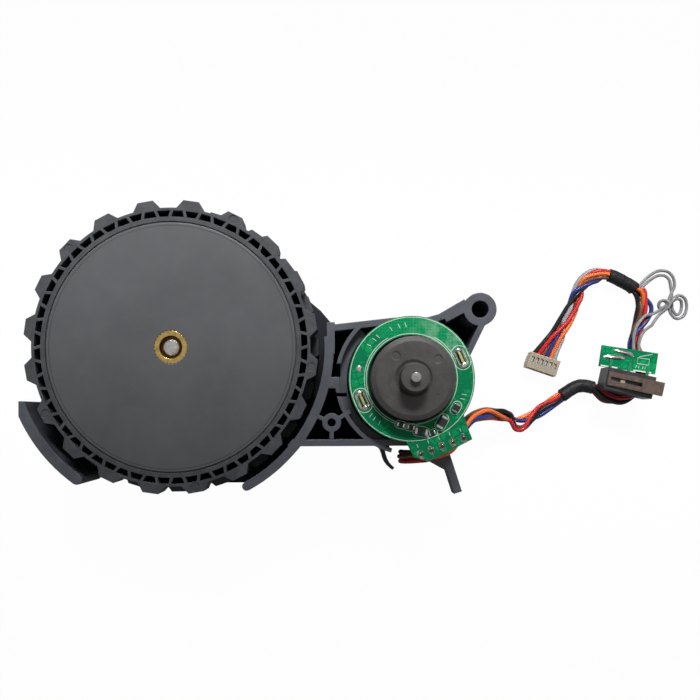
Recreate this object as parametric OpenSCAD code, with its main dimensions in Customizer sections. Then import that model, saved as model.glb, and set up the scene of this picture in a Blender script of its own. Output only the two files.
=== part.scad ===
// Drive wheel module of a robot vacuum: a lugged wheel on a swing arm that carries a gear
// case, a small motor with an encoder, and a wiring harness with its drop switch.
// Millimetres. +Z points out of the wheel's face, z = 0 is the back of the gear case, and
// the origin lies on the axis of the arm's pivot bore.

/* [Layout] */
// Wheel axis, along X from the pivot bore
wheel_x = -73.7; // [-74.4:0.1:-73.2]
// Wheel axis, along Y from the pivot bore
wheel_y = -9.2; // [-9.6:0.1:-8.8]
// Motor axis, along X from the pivot bore
motor_x = -16.6; // [-17:0.1:-16.2]
// Motor axis, along Y from the pivot bore
motor_y = -16.8; // [-17.2:0.1:-16.4]
// Direction of the second gear as seen from the wheel axis, in degrees
gear2_dir = -17.5; // [-18:0.1:-17]

/* [Wheel] */
// Radius over the tread lugs
tyre_r = 35; // [34.6:0.1:35.2]
// Width of the tyre
tyre_w = 16.4; // [14:0.2:17]
// Height of a tread lug
lug_h = 1.85; // [1.2:0.05:2]
// Width of a lug at its tip
lug_tip_w = 3.7; // [3:0.1:4.4]
// Width of a lug at its foot
lug_foot_w = 6.9; // [5:0.1:7.6]
// Number of lugs in each of the two rows
lug_count = 20; // [16:1:22]
// Depth of the tyre, from the lugs' tips to the rim
tread_t = 5.1; // [4.8:0.1:5.6]
// Wall of the tyre inside the ring of cushion cells
cell_inset = 1.1; // [0.9:0.05:1.3]
// Depth of a cushion cell
cell_h = 1.45; // [1:0.05:1.5]
// Number of cushion cells
cell_count = 60; // [40:2:64]
// Wall left between two cells
cell_wall = 0.75; // [0.5:0.05:1]
// Thickness of the wheel's front wall
disc_t = 2.4; // [1.6:0.1:3]
// Thickness of the rim's wall
rim_wall = 2.2; // [1.6:0.1:3]
// Number of ribs behind the front wall
wheel_ribs = 8; // [5:1:10]
// Thickness of a rib behind the front wall
wheel_rib_t = 1.4; // [1:0.1:2]
// Diameter of the brass hub insert
insert_d = 8; // [7:0.1:8.6]
// Length of the brass hub insert
insert_l = 11; // [8:0.5:12]
// Number of grooves round the insert
insert_grooves = 28; // [20:2:32]
// Width of the counterbore in the insert
insert_cbore_d = 5.5; // [5:0.1:6]
// Wall of the wheel's hub round the insert
hub_wall = 2.4; // [1.8:0.1:3]
// Diameter of the wheel axle
axle_d = 4; // [3.6:0.1:4.2]

/* [Gears] */
// Teeth of the motor pinion
pinion_teeth = 14; // [13:1:14]
// Teeth of the first gear's large wheel
gear1_teeth = 48; // [48:1:50]
// Module of the motor mesh
mod_a = 0.5; // [0.5:0.005:0.51]
// Teeth of the first gear's small wheel
gear1_small_teeth = 14; // [14:1:15]
// Teeth of the second gear's large wheel
gear2_teeth = 44; // [43:1:44]
// Module of the middle mesh
mod_b = 0.6; // [0.59:0.005:0.61]
// Teeth of the second gear's small wheel
gear2_small_teeth = 14; // [13:1:14]
// Teeth of the output gear
output_teeth = 50; // [49:1:51]
// Module of the output mesh
mod_c = 0.8; // [0.79:0.005:0.81]
// Play between meshing teeth, taken off each tooth
tooth_play = 0.07; // [0.05:0.01:0.1]
// Diameter of the gear pins
pin_d = 2; // [1.6:0.1:2.2]
// Face width of the first gear's large wheel
gear1_face = 2; // [1.6:0.1:2.2]
// Face width of the second gear's large wheel
gear2_face = 2.2; // [1.8:0.1:2.4]
// Face width of the output gear
output_face = 3.2; // [2.6:0.1:3.4]

/* [Gear case and arm] */
// Thickness of the case cover
cover_t = 1.8; // [1.8:0.1:2]
// Outer face of the arm's plate, from the back
plate_z = 13.6; // [13.4:0.1:14.2]
// Thickness of the arm's plate
plate_t = 1.6; // [1.3:0.1:1.7]
// Wall of the gear case
case_wall = 1.4; // [1.2:0.1:1.6]
// Room between the gears' tips and the case
case_room = 0.6; // [0.5:0.1:0.8]
// Height of the arm's ribs and guard walls, from the back
rib_z = 29.5; // [28:0.1:30]
// Thickness of the arm's outer ribs
rib_t = 1.6; // [1.3:0.1:1.8]
// Gap between the wheel and the plate
wheel_gap = 1; // [0.8:0.1:1.4]
// Diameter of the pivot bore
pivot_d = 4.1; // [3.6:0.1:4.4]
// Outer diameter of the pivot boss
pivot_boss_d = 7.9; // [7.4:0.1:8.4]
// Diameter of the boss for a screw in the lower pocket
post_d = 4.5; // [4:0.1:5]
// Diameter of the hole in that boss
post_hole_d = 2; // [1.6:0.1:2.2]
// Depth of the hole in that boss
post_hole_l = 9; // [6:0.5:12]
// Width of the switch finger
finger_w = 2.1; // [1.8:0.1:2.6]
// Length of the switch finger
finger_l = 14; // [12:0.2:16]
// Depth of the finger and the spring hook, back to front
finger_z = 5.2; // [4:0.2:7]

/* [Wheel guard] */
// Room between the tyre and the outer guard wall
guard_room = 2.6; // [1.8:0.1:3]
// Thickness of the outer guard wall
guard_t = 2.6; // [1.8:0.1:2.8]
// Room between the tyre and the guard wall beside the arm
inner_guard_room = 1.8; // [1.4:0.1:2]
// Thickness of the guard wall beside the arm
inner_guard_t = 2.2; // [1.8:0.1:2.4]
// Room between the tyre and all that stands up from the arm's plate
rib_room = 1.2; // [0.8:0.1:1.4]

/* [Case screws] */
// Shank diameter of a case screw
screw_d = 2; // [1.8:0.1:2.2]
// Head diameter of a case screw
screw_head_d = 3.8; // [3.4:0.1:4]
// Length of a case screw's shank
screw_l = 7; // [5:0.5:8]

/* [Motor] */
// Diameter of the motor can
can_d = 28.4; // [27.6:0.1:28.8]
// Length of the motor can
can_l = 15; // [13:0.2:15.4]
// Wall of the motor can
can_wall = 1; // [0.8:0.1:1.2]
// Diameter of the motor shaft
shaft_d = 2.3; // [2:0.1:2.5]
// Diameter of the armature
armature_d = 19.6; // [17:0.2:20]
// Diameter of the encoder magnet
magnet_d = 19.6; // [18:0.2:20]
// Thickness of the encoder magnet
magnet_t = 4.6; // [3:0.1:5]
// Diameter of the encoder magnet's hub
magnet_hub_d = 6.9; // [6:0.1:8]
// Height of the encoder magnet's hub
magnet_hub_l = 4.4; // [2:0.1:5]

/* [Motor board] */
// Width by which the motor's circuit board stands out over the can
board_over = 0.7; // [0.5:0.05:0.8]
// Width of the board's ring from the terminals inwards
board_inside = 2.25; // [2:0.05:2.4]
// Distance of the motor's terminals from the outside of the can
terminal_inset = 1.55; // [1.4:0.05:1.7]
// Thickness of a circuit board
board_t = 1.2; // [1:0.1:1.6]

/* [Harness] */
// Diameter of the wire bundle
bundle_d = 3; // [2.6:0.1:3]
// Diameter of the pair of switch leads
leads_d = 1.7; // [1.4:0.1:1.7]
// Outer diameter of the two shrink sleeves
sleeve_d = 3.8; // [3.4:0.1:3.8]

/* [Connector] */
// Width of the connector housing
plug_w = 8.4; // [8:0.1:10]
// Depth of the connector housing, back to mouth
plug_l = 4.3; // [4:0.1:5]
// Height of the connector housing
plug_h = 3.4; // [3:0.1:4]
// Number of contacts
plug_ways = 6; // [4:1:6]
// Spacing of the contacts
plug_pitch = 1.25; // [1:0.05:1.3]

/* [Drop switch] */
// Length of the switch body
switch_l = 12.8; // [12.4:0.1:13.4]
// Width of the switch body
switch_w = 5.8; // [5.4:0.1:6.4]
// Height of the switch body
switch_h = 6.5; // [6:0.1:7]
// Length of the switch lever
lever_l = 14.4; // [12:0.2:15]
// Width of the switch lever
lever_w = 3.6; // [3:0.1:4]
// Thickness of the lever's sheet
lever_t = 0.3; // [0.2:0.05:0.4]
// Angle that the free lever stands up, in degrees
lever_rise = 4; // [3:0.5:5]
// Length of the switch's circuit board
strip_l = 15; // [14:0.1:16]
// Width of the switch's circuit board
strip_w = 5.6; // [5:0.1:6.4]

/* [Hidden] */
$fn = 64;

// Overlap that makes a cut or a joint clean
eps = 0.01;
// Running clearance of a shaft in a plain bearing, on the radius
run_gap = 0.03;

wheel_c = [wheel_x, wheel_y];
motor_c = [motor_x, motor_y];
function polar(r, a) = [r * cos(a), r * sin(a)];

// Radii of the tyre and the guard, all from the radius over the lugs
rim_r = tyre_r - tread_t;
cell_in_r = rim_r + cell_inset;
cell_out_r = cell_in_r + cell_h;
guard_r = tyre_r + guard_room;
inner_guard_r = tyre_r + inner_guard_room;

// Gear layout: pitch radii, centre distances and the tree from the wheel to the motor
addendum = 0.9;
dedendum = 1.2;
pressure = 20;
pinion_pr = pinion_teeth * mod_a / 2;
gear1_pr = gear1_teeth * mod_a / 2;
gear1_small_pr = gear1_small_teeth * mod_b / 2;
gear2_pr = gear2_teeth * mod_b / 2;
gear2_small_pr = gear2_small_teeth * mod_c / 2;
output_pr = output_teeth * mod_c / 2;
dist_a = pinion_pr + gear1_pr;
dist_b = gear1_small_pr + gear2_pr;
dist_c = gear2_small_pr + output_pr;
gear2_c = wheel_c + polar(dist_c, gear2_dir);
span = motor_c - gear2_c;
span_l = norm(span);
along = (dist_b * dist_b - dist_a * dist_a + span_l * span_l) / (2 * span_l);
aside = sqrt(max(0, dist_b * dist_b - along * along));
gear1_c = gear2_c + span * along / span_l + [span[1], -span[0]] * aside / span_l;
function heading(p, q) = atan2(q[1] - p[1], q[0] - p[0]);
// Angle of one tooth of a gear that meshes with another at rest
function mesh_phase(dir, phase, n, m) =
    dir + 180 - (360 / m) * (0.5 - (dir - phase) * n / 360);
output_phase = 0;
gear2_small_phase = mesh_phase(gear2_dir, output_phase, output_teeth, gear2_small_teeth);
gear2_phase = gear2_small_phase;
dir_b = heading(gear2_c, gear1_c);
gear1_small_phase = mesh_phase(dir_b, gear2_phase, gear2_teeth, gear1_small_teeth);
gear1_phase = gear1_small_phase;
dir_a = heading(gear1_c, motor_c);
pinion_phase = mesh_phase(dir_a, gear1_phase, gear1_teeth, pinion_teeth);

// Heights in the gear case
face_gap = 0.8;
gear1_z = cover_t + face_gap;
gear1_small_l = 3.6;
gear2_z = gear1_z + gear1_face + face_gap;
gear2_small_l = 3.8;
output_z = gear2_z + gear2_face + 0.4;
plate_back = plate_z - plate_t;
wheel_back = plate_z + wheel_gap;
wheel_front = wheel_back + tyre_w;
board_z = rib_z + 1.5;

// Outline with round ends and straight sides between two circles. The sides' ends lie a
// little inside the circles, so that each side crosses its circle cleanly.
module belt2d(c1, r1, c2, r2) {
    inside = 0.04;
    d = norm(c2 - c1);
    h = heading(c1, c2);
    a = acos((r1 - r2) / d);
    p1 = r1 - inside;
    p2 = r2 - inside;
    translate(c1) circle(r1);
    translate(c2) circle(r2);
    polygon([c1 + polar(p1, h + a), c2 + polar(p2, h + a), c2 + polar(p2, h - a),
             c1 + polar(p1, h - a)]);
}

// Ring sector from angle a0 to a1
module sector2d(r_in, r_out, a0, a1) {
    steps = ceil((a1 - a0) / 30);
    reach = 2 * r_out;
    intersection() {
        difference() {
            circle(r_out);
            circle(r_in);
        }
        polygon(concat([[0, 0]], [for (i = [0:steps]) polar(reach, a0 + (a1 - a0) * i / steps)]));
    }
}

// Straight rib between two points
module rib2d(p, q, w) {
    translate(p) rotate(heading(p, q)) translate([0, -w / 2]) square([norm(q - p), w]);
}

// Involute gear outline
function inv(a) = tan(a) * 180 / PI - a;
function half_tooth(n, pr, r) =
    90 / n - tooth_play / 2 / pr * 180 / PI + inv(pressure)
    - inv(acos(min(1, pr * cos(pressure) / r)));
module gear2d(n, m, phase) {
    pr = n * m / 2;
    root = pr - dedendum * m;
    tip = pr + addendum * m;
    start = max(root, pr * cos(pressure));
    flank = [for (i = [0:3]) start + (tip - start) * i / 3];
    radii = start > root + eps ? concat([root], flank) : flank;
    last = len(radii) - 1;
    polygon([for (k = [0:n - 1])
        for (s = [-1, 1])
            for (i = [0:last])
                let (r = radii[s < 0 ? i : last - i])
                polar(r, phase + 360 * k / n + s * half_tooth(n, pr, max(r, start)))]);
}

// Plain pin or disc along Z, from z0 to z1
module rod(c, r, z0, z1) {
    translate([c[0], c[1], z0]) cylinder(r = r, h = z1 - z0);
}
module slab(z0, z1) {
    translate([0, 0, z0]) linear_extrude(z1 - z0) children();
}

// Tube swept along a list of points, its rings carried along without twist
function unit(v) = v / norm(v);
function tangent(p, i) = unit(p[min(i + 1, len(p) - 1)] - p[max(i - 1, 0)]);
function square_to(n, t) = unit(n - (n * t) * t);
module tube(path, d) {
    sides = 8;
    count = len(path);
    sideways = [for (i = 0, n = square_to([0, 1, 0.1], tangent(path, 0)); i < count;
        i = i + 1, n = i < count ? square_to(n, tangent(path, i)) : n) n];
    rings = [for (i = [0:count - 1]) for (k = [0:sides - 1])
        let (t = tangent(path, i), n = sideways[i], b = cross(t, n), a = 360 * k / sides)
        path[i] + d / 2 * (cos(a) * n + sin(a) * b)];
    walls = [for (i = [0:count - 2]) for (k = [0:sides - 1])
        let (a = i * sides + k, b = i * sides + (k + 1) % sides)
        [a, a + sides, b + sides, b]];
    polyhedron(rings, concat(walls, [[for (k = [0:sides - 1]) k]],
        [[for (k = [sides - 1:-1:0]) (count - 1) * sides + k]]), convexity = 6);
}

// Gear case outline, given the room round the gears
gear_tip = addendum;
function case_circles(extra) = [
    [wheel_c, output_pr + gear_tip * mod_c + case_room + extra],
    [gear2_c, gear2_pr + gear_tip * mod_b + case_room + extra],
    [gear1_c, gear1_pr + gear_tip * mod_a + case_room + extra],
    [motor_c, 10 + extra]];
module case2d(extra) {
    circles = case_circles(extra);
    for (i = [0:2]) belt2d(circles[i][0], circles[i][1], circles[i + 1][0], circles[i + 1][1]);
}
boss_r = 2.3;
lobe_r = boss_r + 0.5;
lobe_neck_w = 2 * lobe_r - 0.5;
case_r = output_pr + gear_tip * mod_c + case_room + case_wall;
screw_spots = [
    wheel_c + polar(case_r + 1.6, 95),
    wheel_c + polar(case_r + 1.6, 180),
    wheel_c + polar(case_r + 1.6, 265),
    motor_c + [-4.9, -12.9],
    motor_c + [-2.7, 12.9]];
module case_outline2d() {
    case2d(case_wall);
    for (s = screw_spots) translate(s) circle(lobe_r);
    for (i = [0:2]) rib2d(wheel_c, screw_spots[i], lobe_neck_w);
    for (i = [3:4]) rib2d(motor_c, screw_spots[i], lobe_neck_w);
}

// Wheel guard and arm outlines
guard_end = 234.2;
guard_cut_y = -22;
guard_cut_x = -110.4;
inner_guard_c = wheel_c + [-0.3, 0.1];
inner_guard_end = -61.4;
inner_floor_end = -74;
inner_floor_cut_y = -42.7;
inner_guard_out = inner_guard_r + inner_guard_t;
guard_out = guard_r + guard_t;
backing_r = tyre_r - 2;
// Ring above the plate that is kept free for the tyre
module wheel_well2d() {
    difference() {
        translate(wheel_c) circle(tyre_r + rib_room);
        translate(wheel_c) circle(rim_r);
    }
}
module outer_guard2d(r_in) {
    difference() {
        translate(wheel_c) sector2d(r_in, guard_out, 190, guard_end);
        translate([wheel_x - 2 * guard_out, guard_cut_y]) square(2 * guard_out);
        translate([guard_cut_x - guard_out, guard_cut_y - guard_out]) square(guard_out);
    }
}
module inner_guard2d(r_in, low_end) {
    translate(inner_guard_c) sector2d(r_in, inner_guard_out, low_end, 4);
}
module inner_floor2d() {
    difference() {
        inner_guard2d(backing_r - 2, inner_floor_end);
        translate([wheel_x, inner_floor_cut_y - guard_out]) square(guard_out);
    }
}
// Rounded end of a guard wall, a little thinner than the wall
module guard_nose2d(c, r_in, t, a) {
    translate(c + polar(r_in + t / 2, a)) circle(t / 2 - 0.05);
}
arm_top = [[-36.6, -3.8], [-20.6, -2], [-12.4, -1.9], [-9.6, -1.1], [-3.4, 2.5]];
arm_bottom_y = -32.6;
arm_outline = concat(
    [[-46, 8.6], [-42.9, 7.3], [-40.8, 3.7], [-38.3, 1.6], [-35.4, -1.8], [-34.9, -3.5]],
    [for (i = [1:4]) arm_top[i]],
    [[0, 0], [1.8, -3.6], [-2.4, -11.3], [-2.6, -18], [-4, -26], [-3.6, -31.5], [-5, -33.4],
     [-12, -33.4], [-14, arm_bottom_y], [-43.5, arm_bottom_y - 0.3], [-52, -38]]);
pot_r = 17.1;
pot_t = 1;
pot_ledge_r = 15.2;
pot_ledge_z = 27;
pot_from = 130;
pot_to = 255;
post_c = [-35.5, -27.1];
pivot_r = pivot_boss_d / 2;
finger_root = [-7.15, -32];
finger_dir = -72.1;
hook_outline = [[-24.1, -32], [-23.5, -33.5], [-22.85, -34.4], [-22.45, -35.4], [-22.2, -36.4],
                [-21.75, -37.5], [-21, -38.5], [-20.2, -39.2], [-19.75, -39.45], [-19.3, -38.85],
                [-20, -38.2], [-20.6, -37.5], [-21.05, -36.7], [-21.35, -35.9], [-21.6, -35],
                [-21.75, -34.2], [-21.6, -33.3], [-21.4, -32]];

module arm_ribs2d() {
    inner_guard2d(inner_guard_r, inner_guard_end);
    guard_nose2d(inner_guard_c, inner_guard_r, inner_guard_t, inner_guard_end);
    outer_guard2d(guard_r);
    guard_nose2d(wheel_c, guard_r, guard_t, guard_end);
    rib2d([-35.7, -10.6], [-35.7, -3.1], 1.9);
    rib2d([-35.2, -18.9], [-35.2, -16.2], 2);
    for (i = [0:3]) rib2d(arm_top[i] - [0, rib_t / 2], arm_top[i + 1] - [0, rib_t / 2], rib_t);
    rib2d([-46, arm_bottom_y + rib_t / 2 - 0.2], [-8, arm_bottom_y + rib_t / 2], rib_t);
    translate(motor_c) sector2d(pot_r, pot_r + pot_t, pot_from, pot_to);
    rib2d([-8.6, -2], [-1.4, 1.8], 2.4);
    rib2d([0.8, -3], [-2.9, -10.6], 1.4);
    rib2d(post_c, [post_c[0], arm_bottom_y + rib_t], 1);
    rib2d(post_c, [-39.4, -25.4], 1);
    rib2d(post_c, [-31, -24.4], 1);
}

// Main moulding: gear case, plate, ribs, guard, motor pot and pivot boss
module arm_frame() color("#3b3e47") {
    bush_r = 3.5;
    seat_r = bush_r + 1.5;
    difference() {
        union() {
            slab(cover_t, plate_back + eps) difference() {
                case_outline2d();
                case2d(0);
            }
            slab(plate_back, plate_z) {
                case_outline2d();
                translate(wheel_c) circle(backing_r);
                outer_guard2d(backing_r - 2);
                inner_floor2d();
                polygon(arm_outline);
                translate(post_c) circle(post_d / 2);
            }
            slab(plate_back, rib_z) arm_ribs2d();
            slab(plate_back, pot_ledge_z)
                translate(motor_c) sector2d(pot_ledge_r, pot_r + eps, pot_from + 4, pot_to - 2);
            rod(post_c, post_d / 2, plate_back, rib_z);
            rod([0, 0], pivot_r, 0, rib_z);
            slab(cover_t + 1, plate_back + eps) rib2d(motor_c + [9, 9], [-1, -1], 2.4);
            for (s = screw_spots) rod(s, boss_r, cover_t, plate_back + eps);
            rod(wheel_c, seat_r, output_z + output_face + 0.5, plate_z + 1.6);
            rod(gear1_c, pin_d / 2 + 1.3, gear1_z + gear1_face + gear1_small_l + 0.5, plate_z);
        }
        rod([0, 0], pivot_d / 2, -1, rib_z + 1);
        rod(wheel_c, bush_r, 0, plate_z + 4);
        rod(post_c, post_hole_d / 2, rib_z - post_hole_l, rib_z + 1);
        rod(motor_c, 3.7, plate_back - 1, plate_z + 1);
        rod(gear1_c, pin_d / 2, 0, plate_back + 0.8);
        rod(gear2_c, pin_d / 2, 0, plate_back + 0.8);
        for (s = screw_spots) rod(s, screw_d / 2, 0, cover_t + screw_l);
        translate([-35.3, -16.2, plate_z + 4]) cube([1.9, 3.2, rib_z]);
        translate([-34.8, -20.9, plate_z + 4]) cube([3, 0.9, rib_z]);
        rod(motor_c, can_d / 2 + 0.3, plate_z, rib_z + 1);
        slab(plate_z, rib_z + 1) wheel_well2d();
    }
}

// Hook for the suspension spring and finger for the switch, moulded on the plate's edge
module spring_hook() color("#3b3e47") {
    difference() {
        slab(plate_z - finger_z, plate_z) difference() {
            polygon(hook_outline);
            polygon(arm_outline);
            case_outline2d();
        }
        slab(plate_back, rib_z) {
            arm_ribs2d();
            translate(motor_c) circle(pot_r + pot_t / 2);
        }
    }
}
module switch_finger() color("#3b3e47") {
    slab(plate_z - finger_z, plate_z) difference() {
        union() {
            rib2d(finger_root, finger_root + polar(finger_l, finger_dir), finger_w);
            polygon([[-11.6, -32], [-10.4, -37.2], [-6.4, -39.4], [-5, -32]]);
        }
        polygon(arm_outline);
    }
}

// Back cover of the gear case, with its bearing seat and pin seats
module gear_case_cover() color("#33363e") {
    difference() {
        union() {
            slab(0, cover_t) difference() {
                case_outline2d();
                circle(pivot_r + 0.4);
            }
            rod(wheel_c, 5, cover_t - eps, cover_t + 1.6);
            rod(gear2_c, pin_d / 2 + 1.3, cover_t - eps, gear2_z - 0.4);
            rod(gear1_c, pin_d / 2 + 1.3, cover_t - eps, gear1_z - 0.3);
        }
        rod(wheel_c, 3.5, 0.6, cover_t + 3);
        rod(gear2_c, pin_d / 2, 0.6, gear2_z);
        rod(gear1_c, pin_d / 2, 0.6, gear1_z);
        for (s = screw_spots) {
            rod(s, screw_d / 2 + 0.15, -1, cover_t + 1);
            rod(s, screw_head_d / 2 + 0.15, -1, 1.2);
        }
    }
}

// Case screws: flat heads let into the cover, shanks in the arm's bosses
module case_screws() color("silver") {
    for (s = screw_spots) difference() {
        union() {
            rod(s, screw_head_d / 2, 0.2, 1.2);
            rod(s, screw_d / 2, 1.2 - eps, cover_t + screw_l - 0.3);
        }
        translate([s[0], s[1], 0]) for (a = [0, 90]) rotate(a)
            translate([-1.1, -0.2, -1]) cube([2.2, 0.4, 1.8]);
    }
}

// Sintered bushes that carry the axle, one in the arm and one in the cover
module axle_bushes() color("#9a7b4f") {
    for (z = [[0.6, cover_t + 1.6], [output_z + output_face + 0.5, plate_z + 1.6]])
        difference() {
            rod(wheel_c, 3.5, z[0], z[1]);
            rod(wheel_c, axle_d / 2 + run_gap, z[0] - 1, z[1] + 1);
        }
}

module gear_pins() color("silver") {
    for (c = [gear1_c, gear2_c]) rod(c, pin_d / 2, 0.6, plate_back + 0.8);
}

// Wheel: front wall, rim, hub and ribs in one moulding
hub_r = insert_d / 2 + hub_wall;
hub_back = plate_z + 2.2;
module wheel_disc() color("#4a4d57") {
    inner_r = rim_r - rim_wall;
    edge = 0.35;
    translate([wheel_x, wheel_y, 0]) difference() {
        union() {
            rotate_extrude() {
                polygon([[0, wheel_front - disc_t], [inner_r, wheel_front - disc_t],
                         [inner_r, wheel_back], [rim_r, wheel_back],
                         [rim_r, wheel_front - edge], [rim_r - edge, wheel_front],
                         [0, wheel_front]]);
                translate([0, hub_back]) square([hub_r, wheel_front - disc_t - hub_back + eps]);
            }
            for (k = [0:wheel_ribs - 1]) rotate(360 * k / wheel_ribs)
                translate([hub_r - 1, -wheel_rib_t / 2, wheel_back + 3])
                    cube([inner_r - hub_r + 2, wheel_rib_t, wheel_front - disc_t - wheel_back - 3 + eps]);
        }
        translate([0, 0, wheel_front - insert_l]) cylinder(d = insert_d, h = insert_l + 1);
        translate([0, 0, hub_back - 1]) cylinder(d = axle_d + 0.4, h = tyre_w);
    }
}

// Tyre: two rows of lugs set half a step apart, and a ring of cushion cells
module tread2d(turn) {
    valley = tyre_r - lug_h;
    foot = valley - 0.4;
    circle(valley);
    for (k = [0:lug_count - 1]) rotate(360 * k / lug_count + turn)
        polygon([[foot, -lug_foot_w / 2], [tyre_r, -lug_tip_w / 2],
                 [tyre_r, lug_tip_w / 2], [foot, lug_foot_w / 2]]);
}
module cells2d() {
    step = 360 / cell_count;
    pitch_in = 2 * cell_in_r * sin(step / 2);
    pitch_out = 2 * cell_out_r * sin(step / 2);
    slant = 0.5;
    for (k = [0:cell_count - 1]) rotate((k + 0.5) * step) {
        wide = k % 2 == 0 ? slant : -slant;
        a = (pitch_in - cell_wall + wide) / 2;
        b = (pitch_out - cell_wall - wide) / 2;
        polygon([[cell_in_r, -a], [cell_out_r, -b], [cell_out_r, b], [cell_in_r, a]]);
    }
}
lug_turn = -8;
mark_depth = 0.15;
module tyre() color("#33353c") {
    half = tyre_w / 2;
    translate([wheel_x, wheel_y, 0]) difference() {
        union() {
            slab(wheel_back, wheel_back + half) tread2d(lug_turn + 180 / lug_count);
            slab(wheel_back + half, wheel_front) tread2d(lug_turn);
        }
        translate([0, 0, wheel_back - 1]) cylinder(r = rim_r, h = tyre_w + 2);
        slab(wheel_back - 1, wheel_front + 1) cells2d();
        for (k = [0:4:lug_count - 1]) rotate(360 * k / lug_count + lug_turn)
            translate([tyre_r - 1.35, 0, wheel_front - mark_depth]) cylinder(r = 1.05, h = 1);
    }
}

// Grooved brass insert that takes the axle's end
module hub_insert() color("#c9a24b") {
    translate([wheel_x, wheel_y, wheel_front - insert_l]) difference() {
        linear_extrude(insert_l) difference() {
            circle(d = insert_d);
            for (k = [0:insert_grooves - 1]) rotate(360 * k / insert_grooves)
                translate([insert_d / 2 - 0.18, -0.16]) square([1, 0.32]);
        }
        translate([0, 0, -1]) cylinder(d = axle_d, h = insert_l + 2);
        translate([0, 0, insert_l - 1.6]) cylinder(d = insert_cbore_d, h = 2);
    }
}

module wheel_axle() color("silver") {
    top = wheel_front - 0.5;
    translate([wheel_x, wheel_y, 0]) rotate_extrude()
        polygon([[0, 0.9], [axle_d / 2, 0.9], [axle_d / 2, top - 0.3],
                 [axle_d / 2 - 0.3, top], [0, top]]);
}

// Output gear, pressed on the axle
module output_gear() color("#d8d3c4") {
    web = 1.6;
    translate([wheel_x, wheel_y, 0]) difference() {
        union() {
            slab(output_z, output_z + output_face) gear2d(output_teeth, mod_c, output_phase);
            translate([0, 0, cover_t + 2]) cylinder(r = 4.6, h = output_z - cover_t - 2 + output_face);
        }
        translate([0, 0, output_z + web]) difference() {
            cylinder(r = output_pr - 3.4, h = output_face);
            cylinder(r = 6, h = output_face);
        }
        cylinder(d = axle_d, h = plate_z);
    }
}

// Idler gears: a large wheel and a small wheel on one hub
module idler(c, n1, m1, phase, z, face, n2, m2, small_l) {
    translate([c[0], c[1], 0]) difference() {
        union() {
            slab(z, z + face) gear2d(n1, m1, phase);
            slab(z + face - eps, z + face + small_l) gear2d(n2, m2, phase);
        }
        translate([0, 0, z - 1]) cylinder(r = pin_d / 2 + run_gap, h = face + small_l + 2);
    }
}
module second_gear() color("#e6e2d6") {
    idler(gear2_c, gear2_teeth, mod_b, gear2_phase, gear2_z, gear2_face,
          gear2_small_teeth, mod_c, gear2_small_l);
}
module first_gear() color("#e6e2d6") {
    idler(gear1_c, gear1_teeth, mod_a, gear1_phase, gear1_z, gear1_face,
          gear1_small_teeth, mod_b, gear1_small_l);
}

// Motor, from its pinion to the encoder magnet
can_z = plate_z;
cap_z = can_z + can_l;
magnet_z = board_z + board_t + 0.3;
shaft_top = magnet_z + magnet_t + magnet_hub_l + 1.4;
motor_turn = 23.5;
terminal_r = can_d / 2 - terminal_inset;
board_d = can_d + 2 * board_over;
board_hole_d = 2 * (terminal_r - board_inside);
module at_motor() {
    translate([motor_x, motor_y, 0]) children();
}
module motor_pinion() color("#c9a24b") {
    at_motor() slab(gear1_z - 0.3, gear1_z + 4.4) difference() {
        gear2d(pinion_teeth, mod_a, pinion_phase);
        circle(d = shaft_d);
    }
}
module motor_shaft() color("silver") {
    at_motor() rotate_extrude() polygon([[0, gear1_z - 0.6], [shaft_d / 2, gear1_z - 0.6],
        [shaft_d / 2, shaft_top - 0.2], [shaft_d / 2 - 0.2, shaft_top], [0, shaft_top]]);
}
armature_z = can_z + 3;
armature_l = 6.6;
module motor_armature() color("#9a9da3") {
    at_motor() slab(armature_z, armature_z + armature_l) difference() {
        circle(d = armature_d);
        circle(d = shaft_d);
        for (k = [0:4]) rotate(72 * k) {
            translate([armature_d / 2 - 1, -0.8]) square([2, 1.6]);
            translate([armature_d / 4 + 1, 0]) circle(1.9);
        }
    }
}
module motor_commutator() color("#b87333") {
    at_motor() slab(armature_z + armature_l + 0.6, cap_z - 0.8) difference() {
        circle(d = 6);
        circle(d = shaft_d);
        for (k = [0:4]) rotate(72 * k + 36) translate([2.2, -0.15]) square([1, 0.3]);
    }
}
module encoder_magnet() color("#2e2a28") {
    r = magnet_d / 2;
    hub_r = magnet_hub_d / 2;
    bevel = 0.6;
    top = magnet_z + magnet_t;
    at_motor() difference() {
        rotate_extrude() polygon([[0, magnet_z], [r, magnet_z], [r, top - bevel],
            [r - 2 * bevel, top], [hub_r + 0.9, top], [hub_r + 0.2, top - 0.4], [hub_r, top - 0.4],
            [hub_r - 0.2, top + magnet_hub_l], [0, top + magnet_hub_l]]);
        translate([0, 0, magnet_z - 1]) cylinder(d = shaft_d, h = magnet_t + magnet_hub_l + 2);
        for (m = [[6.6, 128.5, 1], [7.1, 38.3, 1], [6.8, -35, 0.25]])
            translate(concat(polar(m[0], m[1]), top - 0.15)) cylinder(r = m[2], h = 1);
    }
}
module motor_can() color("#a9adb2") {
    r = can_d / 2;
    at_motor() difference() {
        union() {
            translate([0, 0, can_z]) cylinder(r = r, h = can_l);
            translate([0, 0, can_z - 1.5]) cylinder(r = 3.5, h = 2);
        }
        translate([0, 0, can_z + 1.2]) cylinder(r = r - can_wall, h = can_l);
        translate([0, 0, can_z - 2]) cylinder(r = 2.6, h = 4);
    }
}
module motor_magnets() color("#46474b") {
    in_r = armature_d / 2 + 0.5;
    at_motor() slab(can_z + 2, can_z + 10.4) for (a = [0, 180])
        sector2d(in_r, can_d / 2 - can_wall - 0.02, a - 62, a + 62);
}
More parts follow.
